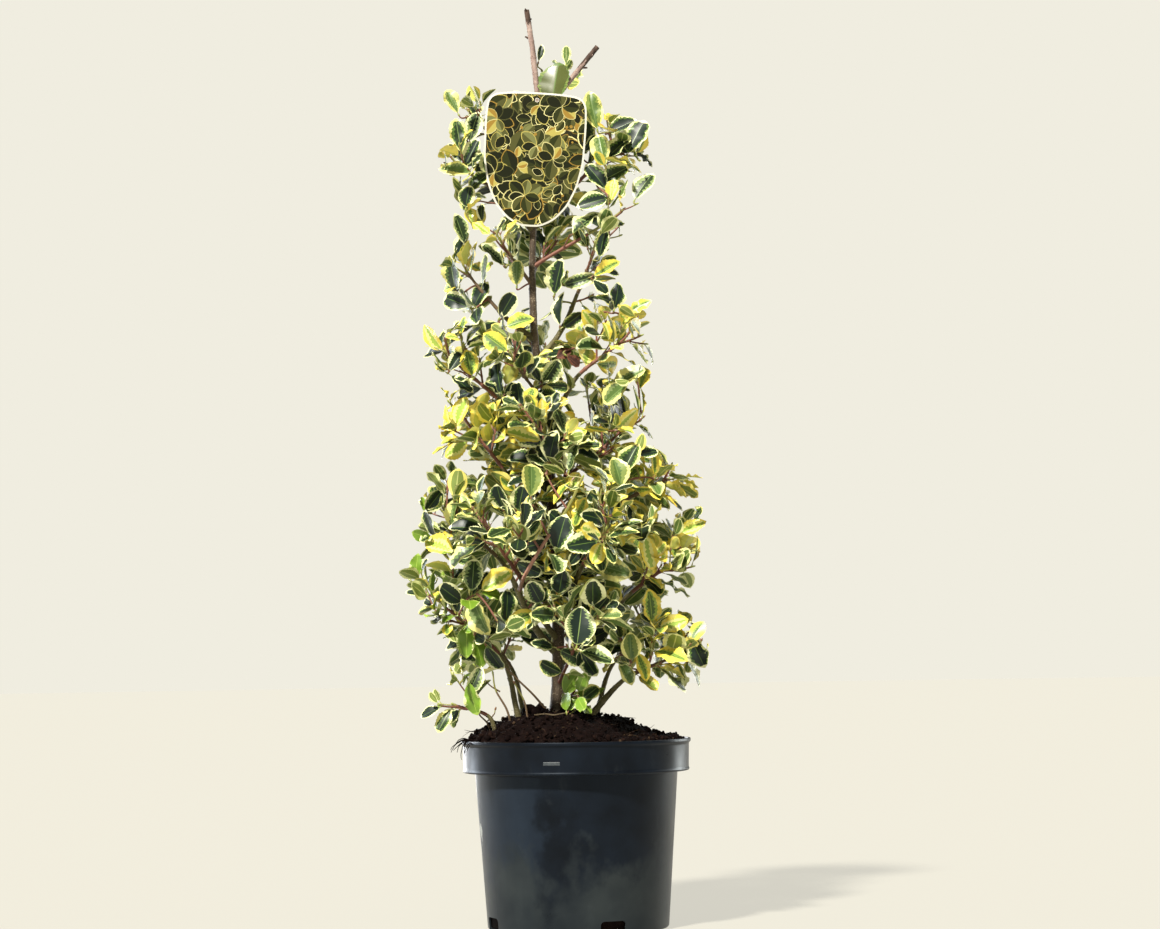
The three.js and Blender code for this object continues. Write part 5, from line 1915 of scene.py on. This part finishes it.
def build_ring():
    """The thin ring round the leader."""
    turns = np.arange(RING_SIDES) * 2 * math.pi / RING_SIDES
    points = []
    for around in np.linspace(0, 2 * math.pi, RING_SPANS, endpoint=False):
        out = np.array([math.cos(around), math.sin(around), 0.0])
        for a in turns:
            reach = ring_radius + LABEL["ring"] * math.cos(a)
            points.append(ring_middle + out * reach + UP * LABEL["ring"] * math.sin(a))
    shell = Shell()
    faces = [(a, d, c, b) for a, b, c, d in ring_faces(RING_SPANS, RING_SIDES, closed=True)]
    shell.add(points, faces, 0)
    return shell


card_stops = [(0.3, (206, 204, 192)), (0.7, (224, 222, 210))]
card_stock = mottled("label_card", 0.42, 0.4, (30, 4), *card_stops, bump=((240, 3), 0.1, 0.0003))
ground_stops = [(0.3, (26, 25, 12)), (0.55, (40, 39, 20)), (0.8, (60, 56, 30))]
print_ground = mottled("print_ground", 0.4, 0.2, (45, 5), *ground_stops)
print_tints = [plain(f"print_{name}", colour, 0.4, shine) for name, (colour, shine) in PRINT.items()]
card, printing = build_label()
place_piece(card.build("label_card", [card_stock], sharp=60), "label", "label")
place_piece(printing.build("label_print", [print_ground, *print_tints], sharp=60), "label")
place_piece(build_ring().build("label_ring", [card_stock], sharp=60), "label")


# Floor, light and camera
PAPER = (240, 237, 224)
FLOOR = (104, 102, 96)
AMBIENT = 0.3
KEY, KEY_TURN, KEY_HEIGHT, KEY_WIDTH, KEY_TINT = 6.9, -28, 48, 5, (1.0, 0.96, 0.86)
# panels that light the plant's edges: name, place, width, height and tint
PANELS = [
    ("side_left", (-2.1, 1.6, 0.9), 0.7, 2.2, (0.85, 0.92, 1)),
    ("edge_left", (-0.95, 2.6, 0.5), 1.3, 1.6, (0.95, 0.97, 1)),
    ("side_right", (2.1, 1.7, 0.9), 0.7, 2.2, (0.95, 1, 0.97)),
]
FLOOR_RADIUS, DOME_RADIUS = 40, 39
PANEL_AIM = Vector((0, 0, 0.4))
PANEL_POWER = 60
EYE, EYE_AIM = Vector((0.0101, -3.05, 0.32)), Vector((0.0101, 0, 0.5706))
EYE_ROLL, LENS = -0.85, 76.05


def add_stage(name, mesh, shade, glow):
    """A piece of the studio; it doesn't count as a part of the plant."""
    data = bpy.data.meshes.new(name)
    mesh.to_mesh(data)
    piece = add_object(name, data)
    material, shader = principled(name, 0.9, 0.0)
    shader.inputs["Base Color"].default_value = (*linear(shade), 1)
    shader.inputs["Emission Color"].default_value = (*linear(PAPER), 1)
    shader.inputs["Emission Strength"].default_value = glow
    data.materials.append(material)
    return piece


def add_studio():
    """A floor that takes a soft shadow, and a plain dome round it of the same colour."""
    sunlight = KEY * math.sin(math.radians(KEY_HEIGHT)) / math.pi
    parts = [
        1 - floor * (sunlight * tint / paper + AMBIENT)
        for floor, tint, paper in zip(linear(FLOOR), KEY_TINT, linear(PAPER))
    ]
    disc = bmesh.new()
    bmesh.ops.create_circle(disc, cap_ends=True, segments=128, radius=FLOOR_RADIUS)
    bmesh.ops.translate(disc, verts=disc.verts, vec=(0, 0, -0.0005))
    add_stage("floor", disc, FLOOR, sum(parts) / 3)
    sphere = bmesh.new()
    bmesh.ops.create_uvsphere(sphere, u_segments=64, v_segments=32, radius=DOME_RADIUS)
    bmesh.ops.reverse_faces(sphere, faces=sphere.faces)
    dome = add_stage("dome", sphere, BLACK, 1.0)
    dome.visible_diffuse = dome.visible_glossy = dome.visible_shadow = False


def add_sun():
    light = bpy.data.lights.new("key", "SUN")
    light.energy, light.angle, light.color = KEY, math.radians(KEY_WIDTH), KEY_TINT
    lamp = add_object("key", light)
    lamp.rotation_euler = (math.radians(90 - KEY_HEIGHT), 0, math.radians(KEY_TURN))


def add_panel(name, at, width, height, colour):
    light = bpy.data.lights.new(name, "AREA")
    light.shape, light.size, light.size_y = "RECTANGLE", width, height
    light.energy, light.color = PANEL_POWER, colour
    lamp = add_object(name, light)
    lamp.location = at
    lamp.rotation_euler = (PANEL_AIM - Vector(at)).to_track_quat("-Z", "Y").to_euler()
    lamp.visible_diffuse = lamp.visible_camera = False


add_studio()
world = bpy.data.worlds.new("studio")
world.use_nodes = True
backdrop = world.node_tree.nodes["Background"]
backdrop.inputs["Color"].default_value = (*linear(PAPER), 1)
backdrop.inputs["Strength"].default_value = AMBIENT
bpy.context.scene.world = world
add_sun()
for panel in PANELS:
    add_panel(*panel)

camera = bpy.data.cameras.new("camera")
camera.sensor_width, camera.lens = 36, LENS
camera.clip_start, camera.clip_end = 0.05, 200
eye = add_object("camera", camera)
eye.location = EYE
roll = Euler((0, 0, math.radians(EYE_ROLL))).to_quaternion()
eye.rotation_mode = "QUATERNION"
eye.rotation_quaternion = (EYE_AIM - EYE).to_track_quat("-Z", "Y") @ roll
bpy.context.scene.camera = eye
bpy.context.scene.view_settings.view_transform = "Standard"

bpy.context.view_layer.update()
